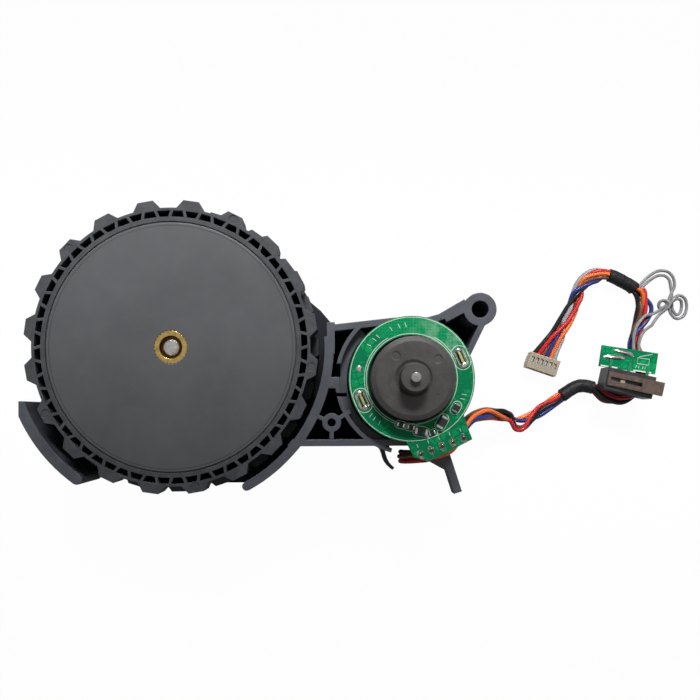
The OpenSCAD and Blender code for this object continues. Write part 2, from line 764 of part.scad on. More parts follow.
module motor_bearings() color("#9a7b4f") {
    for (z = [can_z - 1.5, cap_z - 0.4]) at_motor() difference() {
        translate([0, 0, z]) cylinder(r = 2.6, h = 2.6);
        translate([0, 0, z - 1]) cylinder(r = shaft_d / 2 + run_gap, h = 5);
    }
}
module motor_end_cap() color("#1f2022") {
    at_motor() difference() {
        union() {
            translate([0, 0, cap_z - 1.4]) cylinder(r = can_d / 2 - can_wall - 0.02, h = 1.5);
            translate([0, 0, cap_z]) cylinder(r = can_d / 2, h = 1.2);
            translate([0, 0, cap_z]) cylinder(r = 4.2, h = 2.2);
            for (a = [90, 210, 330]) rotate(a) translate([can_d / 2 - 2.6, 0, cap_z])
                cylinder(r = 1.2, h = board_z - cap_z);
        }
        translate([0, 0, cap_z - 2]) cylinder(r = 2.6, h = 6);
        translate([0, 0, cap_z - 2]) cylinder(r = 3.5, h = 1.4);
        for (a = [0, 180]) rotate(motor_turn + a) translate([terminal_r - 0.3, -1.2, cap_z - 2])
            cube([0.6, 2.4, 5]);
    }
}
module motor_brushes() color("#6a4a35") {
    z = cap_z - 1.4;
    at_motor() for (a = [0, 180]) rotate(motor_turn + a) {
        translate([3.2, -1, z - 1.6]) cube([3, 2, 1.6]);
        translate([6.2 - eps, -0.8, z - 0.6]) cube([terminal_r - 6.2, 1.6, 0.6]);
    }
}
module motor_terminals() color("#c8b56a") {
    at_motor() for (a = [0, 180]) rotate(motor_turn + a)
        translate([terminal_r - 0.3, -1.2, cap_z - 1.4]) cube([0.6, 2.4, board_z + board_t + 0.5 - cap_z + 1.4]);
}

// Motor board: a ring with a tab that carries the harness pads
tab_outline = [[-18.2, -30.2], [-17.9, -31.6], [-16.1, -35.3], [-12.8, -36.1], [-10.6, -35.3],
               [-2.3, -31], [-3.5, -28], [-4.3, -25.2], [-8, -22]];
pad_dir = 20.7;
pad_pitch = 2.7;
pad_first = [-14.5, -34.6];
module pads() {
    for (i = [0:4]) translate(concat(pad_first + polar(pad_pitch * i, pad_dir), 0))
        rotate(pad_dir) children();
}
module motor_board() color("#0f7a45") {
    difference() {
        slab(board_z, board_z + board_t) difference() {
            union() {
                translate(motor_c) circle(d = board_d);
                polygon(tab_outline);
            }
            translate(motor_c) circle(d = board_hole_d);
            translate(motor_c) rotate(169) translate([terminal_r, 0]) circle(0.7);
        }
        at_motor() for (a = [0, 180]) rotate(motor_turn + a)
            translate([terminal_r - 0.6, -1.6, board_z - 1]) cube([1.2, 3.2, board_t + 2]);
        pads() translate([0, 0, board_z - 1]) cylinder(r = 0.45, h = board_t + 2);
    }
}
// Sensors, resistors and capacitors on the board: place, turn and size
chips = [[[-9.5, -27], 60, [2.9, 1.6, 1.1]], [[-6.2, -23.6], 60, [2, 1.3, 0.8]],
         [[-19.2, -27.6], -14, [1.6, 0.9, 0.5]], [[-16.8, -28.2], -8, [1.6, 0.9, 0.5]],
         [[-14.4, -29.2], -10, [2.8, 1.5, 1]], [[-11.8, -29.6], 24, [1.4, 0.8, 0.5]]];
module board_parts() color("#2a2a2c") {
    for (c = chips) translate([c[0][0], c[0][1], board_z + board_t]) rotate(c[1])
        translate([-c[2][0] / 2, -c[2][1] / 2, 0]) cube(c[2]);
}
// Solder joints of the five wires, through the board
module board_solder() color("#c9ccd0") {
    pads() {
        translate([0, 0, board_z + board_t - eps]) cylinder(r1 = 1, r2 = 0.45, h = 0.5);
        translate([0, 0, board_z - 0.4]) cylinder(r = 0.45, h = board_t + 0.5);
    }
}

// Harness: the route of the bundle from the motor board to the connector
run_route = [
    [-5.3, -33.8, 29.4], [-9.5, -34.5, 29.2], [-13.6, -35.1, 28], [-17, -35.5, 24.8],
    [-18, -35.6, 20.8], [-15.6, -35.8, 17.6], [-11.4, -35.7, 15.8], [-7.2, -34.3, 15.6],
    [-3.9, -31.4, 15.5], [-1.7, -28.2, 14.8], [1, -26, 13.2], [4.8, -25, 10.4],
    [8.4, -25, 7.2], [11.8, -25.6, 4.4], [15.4, -27.2, 2.2], [19.2, -25.6, 1.6],
    [23.4, -22.6, 1.6], [27, -20.1, 1.92], [31.4, -17.5, 1.92], [35.6, -17.9, 1.92],
    [39.2, -19.9, 1.6], [43.4, -20.6, 1.5], [47, -18.6, 1.5], [48.7, -14.6, 1.5],
    [48.3, -10.6, 1.5], [46.7, -6.7, 1.5], [47.5, -2.8, 1.5], [48.5, 1.2, 1.5],
    [48.7, 5.2, 1.6], [46.9, 8.8, 1.9], [43.6, 11, 1.9], [39.8, 12.7, 1.9],
    [36.4, 12.6, 1.6], [33.4, 10.6, 1.5], [31.3, 7.4, 1.5], [29.7, 3.7, 1.5],
    [27.9, 0, 1.5], [26, -3.6, 1.6], [23.9, -7, 1.7], [22.4, -9.5, 1.7]];
// Route of the two switch leads, with their small loop
leads_route = [
    [47.8, 8.9, 2.8], [49.6, 10.7, 1.9], [51.6, 12.3, 1.2], [53.7, 13.4, 0.9],
    [55.8, 13.3, 0.9], [57.2, 12, 0.9], [57.6, 9.9, 0.9], [57.3, 7.7, 0.9],
    [57, 5.5, 0.9], [57.2, 3.3, 0.9], [58.5, 1.6, 0.9], [60.1, 2.1, 0.9],
    [60.8, 4.1, 0.9], [60.2, 6.1, 1.5], [58.5, 6.7, 2.3], [56.8, 5.9, 2.8],
    [55.2, 4.6, 2.5], [53.6, 3, 2], [51.8, 1.4, 2.4], [49.9, 0.1, 3.6],
    [48.3, -1.5, 4.1], [47.2, -3.6, 4.1], [46.7, -6, 4.1], [46.6, -8.5, 4.1]];
module harness_run() color("#2b2b2e") tube(run_route, bundle_d);
module switch_leads() color("#b9bbbd") tube(leads_route, leads_d);
module lower_sleeve() color("#17181a") tube([for (i = [17:19]) run_route[i]], sleeve_d);
module upper_sleeve() color("#17181a") tube([for (i = [29:31]) run_route[i]], sleeve_d);

// Connector housing: a row of windows on top, a wire slot at each way, end lips
plug_c = [21.75, -11.5];
plug_turn = -18.7;
module at_plug() {
    translate([plug_c[0], plug_c[1], 0]) rotate(plug_turn) children();
}
function way_x(i) = (i - (plug_ways - 1) / 2) * plug_pitch;
module connector_housing() color("#e9e4d4") {
    at_plug() difference() {
        union() {
            translate([-plug_w / 2, -plug_l / 2, 0]) cube([plug_w, plug_l, plug_h]);
            for (s = [-1, 1]) translate([s * plug_w / 2 - 0.15, -plug_l / 2 + 0.6, 0])
                cube([0.3, plug_l - 1.6, plug_h - 0.9]);
        }
        for (i = [0:plug_ways - 1]) translate([way_x(i), 0, 0]) {
            translate([-0.4, -0.4, plug_h - 0.9]) cube([0.8, 1.5, 2]);
            translate([-0.35, -plug_l, 0.9]) cube([0.7, plug_l, 0.7]);
        }
    }
}
module connector_contacts() color("#c8b56a") {
    at_plug() for (i = [0:plug_ways - 1])
        translate([way_x(i) - 0.3, -0.3, plug_h - 0.9]) cube([0.6, 1.3, 0.35]);
}

// Drop switch: it lies on the bundle and its sleeve, with its lever up. The board keeps its
// own turn, as the switch sits askew on it.
switch_c = [42.7, -16.9];
switch_turn = -12.5;
strip_turn = -8.5;
switch_z = sleeve_d + 0.1;
switch_top = switch_z + switch_h;
plunger_x = -2.1;
hinge_x = -6;
lever_z = switch_top + 0.2;
module at_switch() {
    translate([switch_c[0], switch_c[1], 0]) rotate(switch_turn) children();
}
module switch_body() color("#1c1d20") {
    at_switch() difference() {
        translate([-switch_l / 2, -switch_w / 2, switch_z]) cube([switch_l, switch_w, switch_h]);
        for (x = [-3.25, 3.25]) translate([x, -switch_w, switch_z + 1.6]) rotate([-90, 0, 0])
            cylinder(d = 2, h = 2 * switch_w, $fn = 24);
        translate([plunger_x - 0.7, -0.9, switch_top - 1.4]) cube([1.4, 1.8, 2]);
    }
}
module switch_plunger() color("#e5dcc0") {
    reach = (plunger_x - hinge_x) * tan(lever_rise);
    at_switch() translate([plunger_x - 0.6, -0.8, switch_top - 0.9])
        cube([1.2, 1.6, 0.9 + 0.1 + reach]);
}
module switch_lever() color("#8b817b") {
    at_switch() translate([hinge_x, 0, lever_z]) rotate([0, -lever_rise, 0]) difference() {
        union() {
            translate([0, -lever_w / 2, 0]) cube([lever_l, lever_w, lever_t]);
            translate([0, lever_w / 2, 0]) rotate([90, 0, 0]) cylinder(r = 0.15, h = lever_w);
        }
        translate([0.6, -0.5, -1]) cube([8.2, 1, 3]);
    }
}
strip_z = switch_z + 1.8;
strip_y = switch_w / 2 + 0.7;
module switch_board() color("#0f7a45") {
    translate([switch_c[0], switch_c[1], 0]) rotate(strip_turn)
        translate([-strip_l / 2, strip_y, strip_z]) cube([strip_l, strip_w, board_t - 0.2]);
}
module switch_pins() color("#c9ccd0") {
    at_switch() for (x = [-5, 0, 5]) translate([x - 0.4, switch_w / 2, strip_z + board_t - 0.2])
        cube([0.8, 2.6, 0.4]);
}

arm_frame();
spring_hook();
switch_finger();
gear_case_cover();
case_screws();
axle_bushes();
gear_pins();
wheel_disc();
tyre();
hub_insert();
wheel_axle();
output_gear();
second_gear();
first_gear();
motor_pinion();
motor_shaft();
motor_armature();
motor_commutator();
encoder_magnet();
motor_can();
motor_magnets();
motor_bearings();
motor_end_cap();
motor_brushes();
motor_terminals();
motor_board();
board_parts();
board_solder();
harness_run();
switch_leads();
lower_sleeve();
upper_sleeve();
connector_housing();
connector_contacts();
switch_body();
switch_lever();
switch_plunger();
switch_pins();
switch_board();
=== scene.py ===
"""Looks of a robot vacuum's drive wheel module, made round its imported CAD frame.

Shapes are worked out in millimetres and put into the meshes in metres, in the frame's own
axes: +Z points out of the wheel's face, and the origin lies on the pivot bore's axis. Settings,
materials, the camera and the lamps are in metres.
"""

import math

import bpy
import numpy as np
from bpy.props import FloatProperty, FloatVectorProperty, IntProperty, PointerProperty
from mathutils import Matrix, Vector


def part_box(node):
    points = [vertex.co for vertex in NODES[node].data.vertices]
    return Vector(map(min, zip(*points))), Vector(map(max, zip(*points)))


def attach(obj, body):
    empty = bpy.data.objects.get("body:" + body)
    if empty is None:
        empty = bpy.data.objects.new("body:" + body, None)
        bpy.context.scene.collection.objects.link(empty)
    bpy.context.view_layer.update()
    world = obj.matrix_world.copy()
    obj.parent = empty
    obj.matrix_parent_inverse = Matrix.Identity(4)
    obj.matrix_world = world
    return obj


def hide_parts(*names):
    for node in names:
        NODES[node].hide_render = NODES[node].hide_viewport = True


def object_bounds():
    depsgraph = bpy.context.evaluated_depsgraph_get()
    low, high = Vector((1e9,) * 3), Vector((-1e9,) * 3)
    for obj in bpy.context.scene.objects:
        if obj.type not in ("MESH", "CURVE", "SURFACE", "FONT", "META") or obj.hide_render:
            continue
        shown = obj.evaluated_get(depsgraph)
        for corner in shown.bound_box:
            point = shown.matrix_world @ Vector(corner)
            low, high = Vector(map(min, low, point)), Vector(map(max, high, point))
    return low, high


bl_info = {
    "name": "Wheel Module Looks",
    "version": (1, 0, 0),
    "blender": (4, 5, 0),
    "location": "View3D > Sidebar > Wheel Module",
    "description": "Wires, solder, board print and finishes for a robot vacuum wheel module",
    "category": "Object",
}

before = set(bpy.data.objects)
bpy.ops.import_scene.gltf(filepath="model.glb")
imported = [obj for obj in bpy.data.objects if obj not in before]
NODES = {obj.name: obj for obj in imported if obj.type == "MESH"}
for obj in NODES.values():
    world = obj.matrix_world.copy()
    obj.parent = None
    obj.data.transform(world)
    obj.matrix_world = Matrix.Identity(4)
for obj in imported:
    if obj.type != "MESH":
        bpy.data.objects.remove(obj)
CAD_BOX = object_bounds()

MM = 0.001
UP = np.array([0.0, 0.0, 1.0])
# Axes of the wheel and the motor
WHEEL = np.array([-73.7, -9.2])
MOTOR = np.array([-16.6, -16.8])
# Faces of the motor's board and of the drop switch's board, which is called the strip
BOARD_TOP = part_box("motor_board")[1].z / MM
STRIP_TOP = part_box("switch_board")[1].z / MM
BOARD_R = 14.9
# The drop switch's place, and the strip's turn in degrees
SWITCH = np.array([42.7, -16.9])
STRIP_TURN = -8.5
# The connector's middle and turn, the distance between its ways and its depth
PLUG = np.array([21.75, -11.5])
PLUG_TURN = -18.7
PLUG_PITCH = 1.25
PLUG_DEPTH = 4.3
# The leftmost wire pad, and the row's turn and pitch
PAD_FIRST = np.array([-14.5, -34.6])
PAD_TURN = 20.7
PAD_PITCH = 2.7
PAD_COUNT = 5
# Distance of the motor's terminals from its axis, and the first one's direction
TERMINAL_R = 12.65
TERMINAL_TURN = 23.5
# Small parts on the motor's board: middle, turn, and length, width and height
CHIPS = [((-9.5, -27.0), 60, (2.9, 1.6, 1.1)), ((-6.2, -23.6), 60, (2.0, 1.3, 0.8)),
         ((-19.2, -27.6), -14, (1.6, 0.9, 0.5)), ((-16.8, -28.2), -8, (1.6, 0.9, 0.5)),
         ((-14.4, -29.2), -10, (2.8, 1.5, 1.0)), ((-11.8, -29.6), 24, (1.4, 0.8, 0.5))]
# Height of printed ink over a board
INK = 0.025

# The bundle's route, from the motor board to the connector
RUN_ROUTE = np.array([
    [-5, -33.2, 29.6], [-9.5, -34.5, 29.2], [-13.6, -35.1, 28], [-17, -35.5, 24.8],
    [-18, -35.6, 20.8], [-15.6, -35.8, 17.6], [-11.4, -35.7, 15.8], [-7.2, -34.3, 15.6],
    [-3.9, -31.4, 15.5], [-1.7, -28.2, 14.8], [1, -26, 13.2], [4.8, -25, 10.4],
    [8.4, -25, 7.2], [11.8, -25.6, 4.4], [15.4, -27.2, 2.2], [19.2, -25.6, 1.6],
    [23.4, -22.6, 1.6], [27, -20.1, 1.92], [31.4, -17.5, 1.92], [35.6, -17.9, 1.92],
    [39.2, -19.9, 1.6], [43.4, -20.6, 1.5], [47, -18.6, 1.5], [48.7, -14.6, 1.5],
    [48.3, -10.6, 1.5], [46.7, -6.7, 1.5], [47.5, -2.8, 1.5], [48.5, 1.2, 1.5],
    [48.7, 5.2, 1.6], [46.9, 8.8, 1.9], [43.6, 11, 1.9], [39.8, 12.7, 1.9],
    [36.4, 12.6, 1.6], [33.4, 10.6, 1.5], [31.3, 7.4, 1.5], [29.7, 3.7, 1.5],
    [27.9, 0, 1.5], [26, -3.6, 1.6], [23.9, -7, 1.7], [22.4, -9.5, 1.7]])
# The two switch leads' route, from the upper sleeve to the switch's board
LEADS_ROUTE = np.array([
    [47.8, 8.9, 2.8], [49.6, 10.7, 1.9], [51.6, 12.3, 1.2], [53.7, 13.4, 0.9],
    [55.8, 13.3, 0.9], [57.2, 12, 0.9], [57.6, 9.9, 0.9], [57.3, 7.7, 0.9],
    [57, 5.5, 0.9], [57.2, 3.3, 0.9], [58.5, 1.6, 0.9], [60.1, 2.1, 0.9],
    [60.8, 4.1, 0.9], [60.2, 6.1, 1.5], [58.5, 6.7, 2.3], [56.8, 5.9, 2.8],
    [55.2, 4.6, 2.5], [53.6, 3, 2], [51.8, 1.4, 2.4], [49.9, 0.1, 3.6],
    [48.3, -1.5, 4.1], [47.2, -3.6, 4.1], [46.7, -6, 4.1], [46.6, -8.5, 4.1]])
# How the wires lie in the bundle, one row per station: the route point, then for each wire
# how far it lies to the right of the way it runs and how far above the route. The wires are
# orange, red, blue, black, brown and grey; the grey one starts in the upper sleeve.
WIRE_PLAN = np.array([
    [0, 0, -0.2, 0.2, -0.9, -0.2, 0.4, 0.2, 1.0, 0.3, 0.2, 0, 0],
    [2, 0.5, -0.6, -0.1, -1.1, 0.6, 0.3, -0.2, 1.0, -0.4, 0.1, 0, 0],
    [4, 0.8, -0.5, -0.35, -1.15, 0.8, 0.5, -0.3, 1.15, -0.6, 0, 0, 0],
    [6, 0.6, -0.6, -0.4, -0.9, 0.6, 0.6, -0.3, 1.0, -0.5, 0.2, 0, 0],
    [7.5, 0.5, -1.5, -0.4, -0.5, 0.5, 0.3, -0.3, 0.9, -0.5, -1.5, 0, 0],
    [9, 0.8, 0.3, -0.1, -0.9, 0.8, -0.5, -0.4, 0.8, -0.8, -0.1, 0, 0],
    [11, -0.6, 0.8, 1.0, -0.7, 0.7, 0.1, -0.4, -0.5, -1.3, 0, 0, 0],
    [12.5, 0.7, 0.65, 1.3, -0.35, 0.3, -0.5, -1.1, 0.45, -0.6, -0.5, 0, 0],
    [13.3, 0.9, 0.1, 0.6, 0.8, -0.2, -0.6, -0.4, 0.6, -1.1, -0.3, 0, 0],
    [14, -1.0, -0.5, 2.7, 0.5, -0.5, 0.2, 2.5, -0.3, 1.7, -0.6, 0, 0],
    [14.6, -1.0, -0.4, 0.2, 0.8, 0.2, 0, 1.2, 0.3, 1.2, -0.6, 0, 0],
    [15.5, -0.7, -0.5, -1.3, 0.3, 1.15, 0.2, -0.2, 0.65, 0.5, -0.5, 0, 0],
    [16.6, -1.0, 0.45, -0.2, 0.7, 1.1, 0, 0.7, 0.5, -0.2, -0.5, 0, 0],
    [17.3, -0.55, -0.6, -0.85, 0.25, 0.85, 0.25, 0, 0.75, 0.5, -0.6, 0, 0],
    [18.8, -0.55, -0.6, -0.85, 0.25, 0.85, 0.25, 0, 0.75, 0.5, -0.6, 0, 0],
    [20, 0.3, -0.55, -0.2, 0.5, -0.9, -0.3, 1.0, 0.6, 1.7, -0.3, 0, 0],
    [21, -0.4, -0.5, 0.1, 0.7, -1.1, 0, 1.4, 0, 0.6, -0.55, 0, 0],
    [22.5, 0.2, 0.5, 1.3, 0.2, -0.9, 0.35, 0.5, -0.5, -0.6, -0.5, 0, 0],
    [24, 0, 0.6, 1.2, 0.3, -1.2, 0.3, -0.6, -0.5, 0.6, -0.5, 0, 0],
    [25, 0.1, -0.45, 1.3, 0.2, -1.3, 0.3, -0.9, -0.5, 0.9, -0.5, 0, 0],
    [26, 0.4, -0.5, 1.1, 0.1, -0.1, 0.7, -0.8, -0.4, -1.0, 0.3, 0, 0],
    [27, 0.2, -0.4, 1.0, 0.3, 2.2, 0.2, -1.2, 0, -0.3, 0.5, 0, 0],
    [27.7, 0.3, -0.3, 1.1, 0.3, 3.0, 0, -1.0, 0.2, -0.2, 0.5, 0, 0],
    [28.2, 0.4, 0.7, 1.2, 0.2, 1.5, -0.2, -0.8, 0, -0.2, -0.5, 0, 0],
    [28.6, 1.1, 0.8, 2.3, 0.1, 0.5, -0.5, -0.6, 0.2, -0.3, -0.6, 0, 0],
    [29.2, 0, 0.8, 0.8, 0.2, 0.5, -0.6, -0.5, -0.6, -0.8, 0.2, 0, 0],
    [30.8, 0, 0.8, 0.8, 0.2, 0.5, -0.6, -0.5, -0.6, -0.8, 0.2, 0.2, 0],
    [32, 0.15, 0.75, 1.1, 0.5, -1.6, -0.1, -0.1, -0.5, -0.8, 0.3, 1.75, -0.2],
    [33, 1.2, 0.55, 0.5, -0.4, -0.9, 0.6, -1.1, -0.5, 0.2, 0.75, 1.7, -0.4],
    [34, -0.7, -0.55, -1.5, 0.2, 1.3, 0.5, 0, 0.7, 0.3, -0.5, 1.1, -0.5],
    [35, -1.6, -0.3, -1.1, 0.5, 0.7, -0.5, 1.2, 0.4, -0.4, -0.5, 0.1, 0.4],
    [36, -1.6, 0.1, -0.6, 0.7, -0.3, -0.5, 1.5, 0.2, 0.8, -0.5, 0.5, 0.3],
    [37, -1.1, 0.3, 0.8, 0.7, -0.1, 0.1, 1.7, -0.2, 0.8, -0.5, -1.8, -0.3],
    [38, -1.2, 0.1, 1.5, 0.4, -0.3, 0.1, 2.3, 0, 0.6, 0, -2.1, 0],
    [39, -1.9, 0, 1.9, 0, -0.6, 0, 3.1, 0, 0.6, 0, -3.1, 0]])
# How far each of the two leads lies to the right of the way they run, one row per station
LEAD_PLAN = np.array([
    [0, 0.45, -0.45], [2, 0.55, -0.55], [4, 0.65, -0.6], [6, 0.5, -0.5], [7.5, -0.45, 0.45],
    [9, -0.5, 0.5], [12, -0.7, 0.6], [14, -0.45, 0.45], [16, -0.3, -0.8], [17.5, 0.4, -0.6],
    [19, 1.6, -1.6], [20.5, 1.3, -0.9], [22, 0.8, -0.5], [23, 0.8, -0.6]])


# Settings


def size(name, description, default, **more):
    """A length in metres that the sidebar shows in the scene's unit."""
    return FloatProperty(name=name, description=description, default=default, unit="LENGTH",
                         precision=5, **more)


def colour(name, description, default):
    """A linear colour that the sidebar shows as a swatch."""
    return FloatVectorProperty(name=name, description=description, default=default, size=3,
                               subtype="COLOR", min=0, max=1)


class ModuleSizes(bpy.types.PropertyGroup):
    """Sizes of what is added to the solids."""

    wire_diameter: size("Wire diameter", "Outer diameter of one harness wire", 0.00118)
    lead_diameter: size("Lead diameter", "Outer diameter of one switch lead", 0.00084)
    sleeve_diameter: size("Sleeve diameter", "Outer diameter of a shrink sleeve", 0.0037)
    ink_width: size("Ink line", "Width of a printed line on a circuit board", 0.00013)
    solder_height: size("Solder height", "Height of a solder joint on a wire pad", 0.00075)
    edge_round: size("Edge rounding", "Radius that softens the moulded edges", 0.0003)
    wire_sides: IntProperty(name="Wire sides", description="Faces round one wire",
                            default=12, min=6, max=24)


class ModuleColours(bpy.types.PropertyGroup):
    """Colours of the finishes."""

    arm: colour("Arm", "Moulded arm and gear case", (0.074, 0.081, 0.100))
    disc: colour("Wheel disc", "Moulded wheel", (0.088, 0.091, 0.098))
    rubber: colour("Tyre", "Rubber of the tyre", (0.038, 0.043, 0.051))
    board: colour("Solder resist", "Green of the circuit boards", (0.004, 0.215, 0.084))
    copper_green: colour("Resist on copper", "Green where copper lies under it",
                         (0.010, 0.430, 0.150))
    ink: colour("Ink", "White print on the circuit boards", (0.78, 0.84, 0.78))
    magnet: colour("Magnet", "Moulded encoder magnet", (0.066, 0.060, 0.058))
    brass: colour("Brass", "Grooved hub insert", (0.80, 0.56, 0.20))
    steel: colour("Steel", "Shafts, pins and screws", (0.66, 0.65, 0.62))
    tin: colour("Tin", "Solder and tinned contacts", (0.70, 0.70, 0.67))
    lever: colour("Lever", "Spring steel of the switch lever", (0.165, 0.122, 0.105))
    cream: colour("Cream", "Connector housing and switch plunger", (0.405, 0.325, 0.240))
    shrink: colour("Sleeve", "Heat shrink sleeve", (0.012, 0.012, 0.014))


class ModuleLight(bpy.types.PropertyGroup):
    """Light and floor of the stage."""

    sky: FloatProperty(name="Sky", description="Light from all round", default=0.13, min=0)
    mirror: FloatProperty(name="Mirrored sky", description="White that shiny faces mirror",
                          default=0.34, min=0)
    key: FloatProperty(name="Key lamp", description="Power of the large lamp",
                       default=0.110, min=0, subtype="POWER")
    fill: FloatProperty(name="Fill lamp", description="Power of the small lamp",
                        default=0.07, min=0, subtype="POWER")
    spread: FloatProperty(name="Key spread", description="Angle over which the large lamp's light fades",
                          default=math.radians(28), min=0.1, max=math.pi, subtype="ANGLE")
    floor_glow: FloatProperty(name="Floor white", description="Share of plain white in the floor",
                              default=0.98, min=0, max=1, subtype="FACTOR")


def settings():
    """The three groups of settings of the scene."""
    scene = bpy.context.scene
    return scene.module_sizes, scene.module_colours, scene.module_light


# Surfaces


def smooth_path(points, per):
    """Catmull-Rom curve: each span between two points is the cubic that leaves and meets
    them along the line joining their neighbours, sampled per times."""
    p = np.vstack([2 * points[0] - points[1], points, 2 * points[-1] - points[-2]])
    t = np.arange(per)[:, None] / per
    a, b, c, d = p[:-3, None], p[1:-2, None], p[2:-1, None], p[3:, None]
    spans = 0.5 * (2 * b + (c - a) * t + (2 * a - 5 * b + 4 * c - d) * t**2
                   + (3 * b - a - 3 * c + d) * t**3)
    return np.vstack([spans.reshape(-1, points.shape[1]), points[-1:]])


def unit(v):
    """Each row divided by its length."""
    return v / np.maximum(np.linalg.norm(v, axis=-1, keepdims=True), 1e-12)


def frames(path, reference):
    """Tangent, side and up at each point: side is the reference made square to the tangent,
    and up is their cross product."""
    t = unit(np.gradient(path, axis=0))
    side = unit(np.cross(t, reference))
    return t, side, np.cross(side, t)


def grid_faces(rows, columns, wrap_rows=False):
    """Quads of a grid whose columns close on themselves, as an array of vertex numbers."""
    i = np.arange(rows if wrap_rows else rows - 1)[:, None]
    j = np.arange(columns)[None]
    k, n = (j + 1) % columns, (i + 1) % rows
    return np.stack(np.broadcast_arrays(i * columns + j, i * columns + k,
                                        n * columns + k, n * columns + j), -1).reshape(-1, 4)


def closed_grid(body, rows, columns, middles):
    """A grid of closed rows, with a fan of triangles round a middle vertex over each end."""
    j = np.arange(columns)
    k = (j + 1) % columns
    low, last = len(body), (rows - 1) * columns
    caps = np.vstack([np.stack([np.full(columns, low), k, j], 1),
                      np.stack([np.full(columns, low + 1), last + j, last + k], 1)])
    return np.vstack([body, middles]), grid_faces(rows, columns), caps


def tube(path, radius, sides, reference):
    """Circle of the given radius carried along a path, point = path + r (cos a side +
    sin a up), with a fan over each end. Radius may change along the path."""
    _, side, up = frames(path, reference)
    a = np.linspace(0, 2 * math.pi, sides, endpoint=False)
    r = np.broadcast_to(np.asarray(radius, float), (len(path),))[:, None, None]
    ring = np.cos(a)[None, :, None] * side[:, None] + np.sin(a)[None, :, None] * up[:, None]
    body = (path[:, None] + r * ring).reshape(-1, 3)
    return closed_grid(body, len(path), sides, path[[0, -1]])


def turned(profile, steps, stretch=(1.0, 1.0), wobble=None):
    """Profile of (radius, height) rows turned about Z and closed by a fan at each end;
    stretch scales it along X and Y, and wobble(angle) scales the radius."""
    a = np.linspace(0, 2 * math.pi, steps, endpoint=False)
    r, z = profile[:, 0], profile[:, 1]
    w = np.ones(steps) if wobble is None else wobble(a)
    body = np.stack([stretch[0] * r[:, None] * w * np.cos(a), stretch[1] * r[:, None] * w * np.sin(a),
                     np.repeat(z[:, None], steps, 1)], -1).reshape(-1, 3)
    return closed_grid(body, len(profile), steps, [[0, 0, z[0]], [0, 0, z[-1]]])


def soft_box(half, steps=28, sharp=0.16):
    """Superellipsoid: a box with rounded edges, x = a C(v) C(u), y = b C(v) S(u),
    z = c S(v), where C and S are the cosine and sine raised to a small power."""
    def power(x):
        return np.sign(x) * np.abs(x) ** sharp
    u = np.linspace(0, 2 * math.pi, steps, endpoint=False) + math.pi / steps
    v = np.linspace(-math.pi / 2, math.pi / 2, steps // 2 + 2)[1:-1][:, None]
    body = np.stack([half[0] * power(np.cos(v)) * power(np.cos(u)),
                     half[1] * power(np.cos(v)) * power(np.sin(u)),
                     half[2] * power(np.sin(v)) * np.ones_like(u)], -1).reshape(-1, 3)
    return closed_grid(body, steps // 2, steps, [[0, 0, -half[2]], [0, 0, half[2]]])


def ribbon(path, width, low, high, closed=False):
    """Flat strip along a path in the XY plane: a rectangle as wide as the line and as high
    as the ink, carried along it."""
    if closed:
        t = unit(np.roll(path, -1, 0) - np.roll(path, 1, 0))
    else:
        t = unit(np.gradient(path, axis=0))
    n = np.stack([-t[:, 1], t[:, 0]], 1) * width / 2
    corners = [(path - n, low), (path + n, low), (path + n, high), (path - n, high)]
    body = np.stack([np.column_stack([p, np.full(len(p), z)]) for p, z in corners], 1).reshape(-1, 3)
    quads = grid_faces(len(path), 4, wrap_rows=closed)
    last = (len(path) - 1) * 4
    caps = np.zeros((0, 4), int) if closed else np.array(
        [[0, 1, 2, 3], [last + 3, last + 2, last + 1, last]])
    return body, np.vstack([quads, caps]), np.zeros((0, 3), int)


def heading(angle):
    """Unit vector in XY at an angle in degrees: its cosine and its sine."""
    return np.array([math.cos(math.radians(angle)), math.sin(math.radians(angle))])


def placed(part, turn, at):
    """A part turned about Z by turn degrees and then moved."""
    v, quads, tris = part
    c, s = heading(turn)
    v = v @ np.array([[c, s, 0], [-s, c, 0], [0, 0, 1]]) + np.asarray(at, float)
    return v, quads, tris


def facing_out(part):
    """The part with its faces turned outwards, from the sign of the volume that they hold."""
    v, quads, tris = part
    fan = np.vstack([quads[:, [0, 1, 2]], quads[:, [0, 2, 3]], tris])
    p, q, r = (v[fan[:, i]] for i in range(3))
    if (np.cross(p, q) * r).sum() < 0:
        return v, quads[:, ::-1], tris[:, ::-1]
    return part


def joined(parts):
    """Several parts as one, each with its own tone number kept per vertex."""
    v, quads, tris, tones, base = [], [], [], [], 0
    for part, tone in parts:
        pv, pq, pt = facing_out(part)
        v.append(pv)
        quads.append(pq + base)
        tris.append(pt + base)
        tones.append(np.full(len(pv), tone, float))
        base += len(pv)
    return np.vstack(v), np.vstack(quads), np.vstack(tris), np.concatenate(tones)


def piece(name, parts, body, materials, smooth=True):
    """A mesh object from parts in millimetres, riding on a body. A part's tone number says
    which of the materials it wears."""
    v, quads, tris, tones = joined(parts)
    mesh = bpy.data.meshes.new(name)
    mesh.from_pydata((v * MM).tolist(), [], quads.tolist() + tris.tolist())
    materials = materials if isinstance(materials, (list, tuple)) else [materials]
    for m in materials:
        mesh.materials.append(m)
    first = np.concatenate([quads[:, 0], tris[:, 0]])
    index = tones[first].astype(np.int32) % len(materials)
    mesh.polygons.foreach_set("material_index", index)
    mesh.polygons.foreach_set("use_smooth", np.full(len(mesh.polygons), smooth))
    mesh.update()
    made = bpy.data.objects.new(name, mesh)
    bpy.context.scene.collection.objects.link(made)
    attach(made, body)
    return made


# Materials


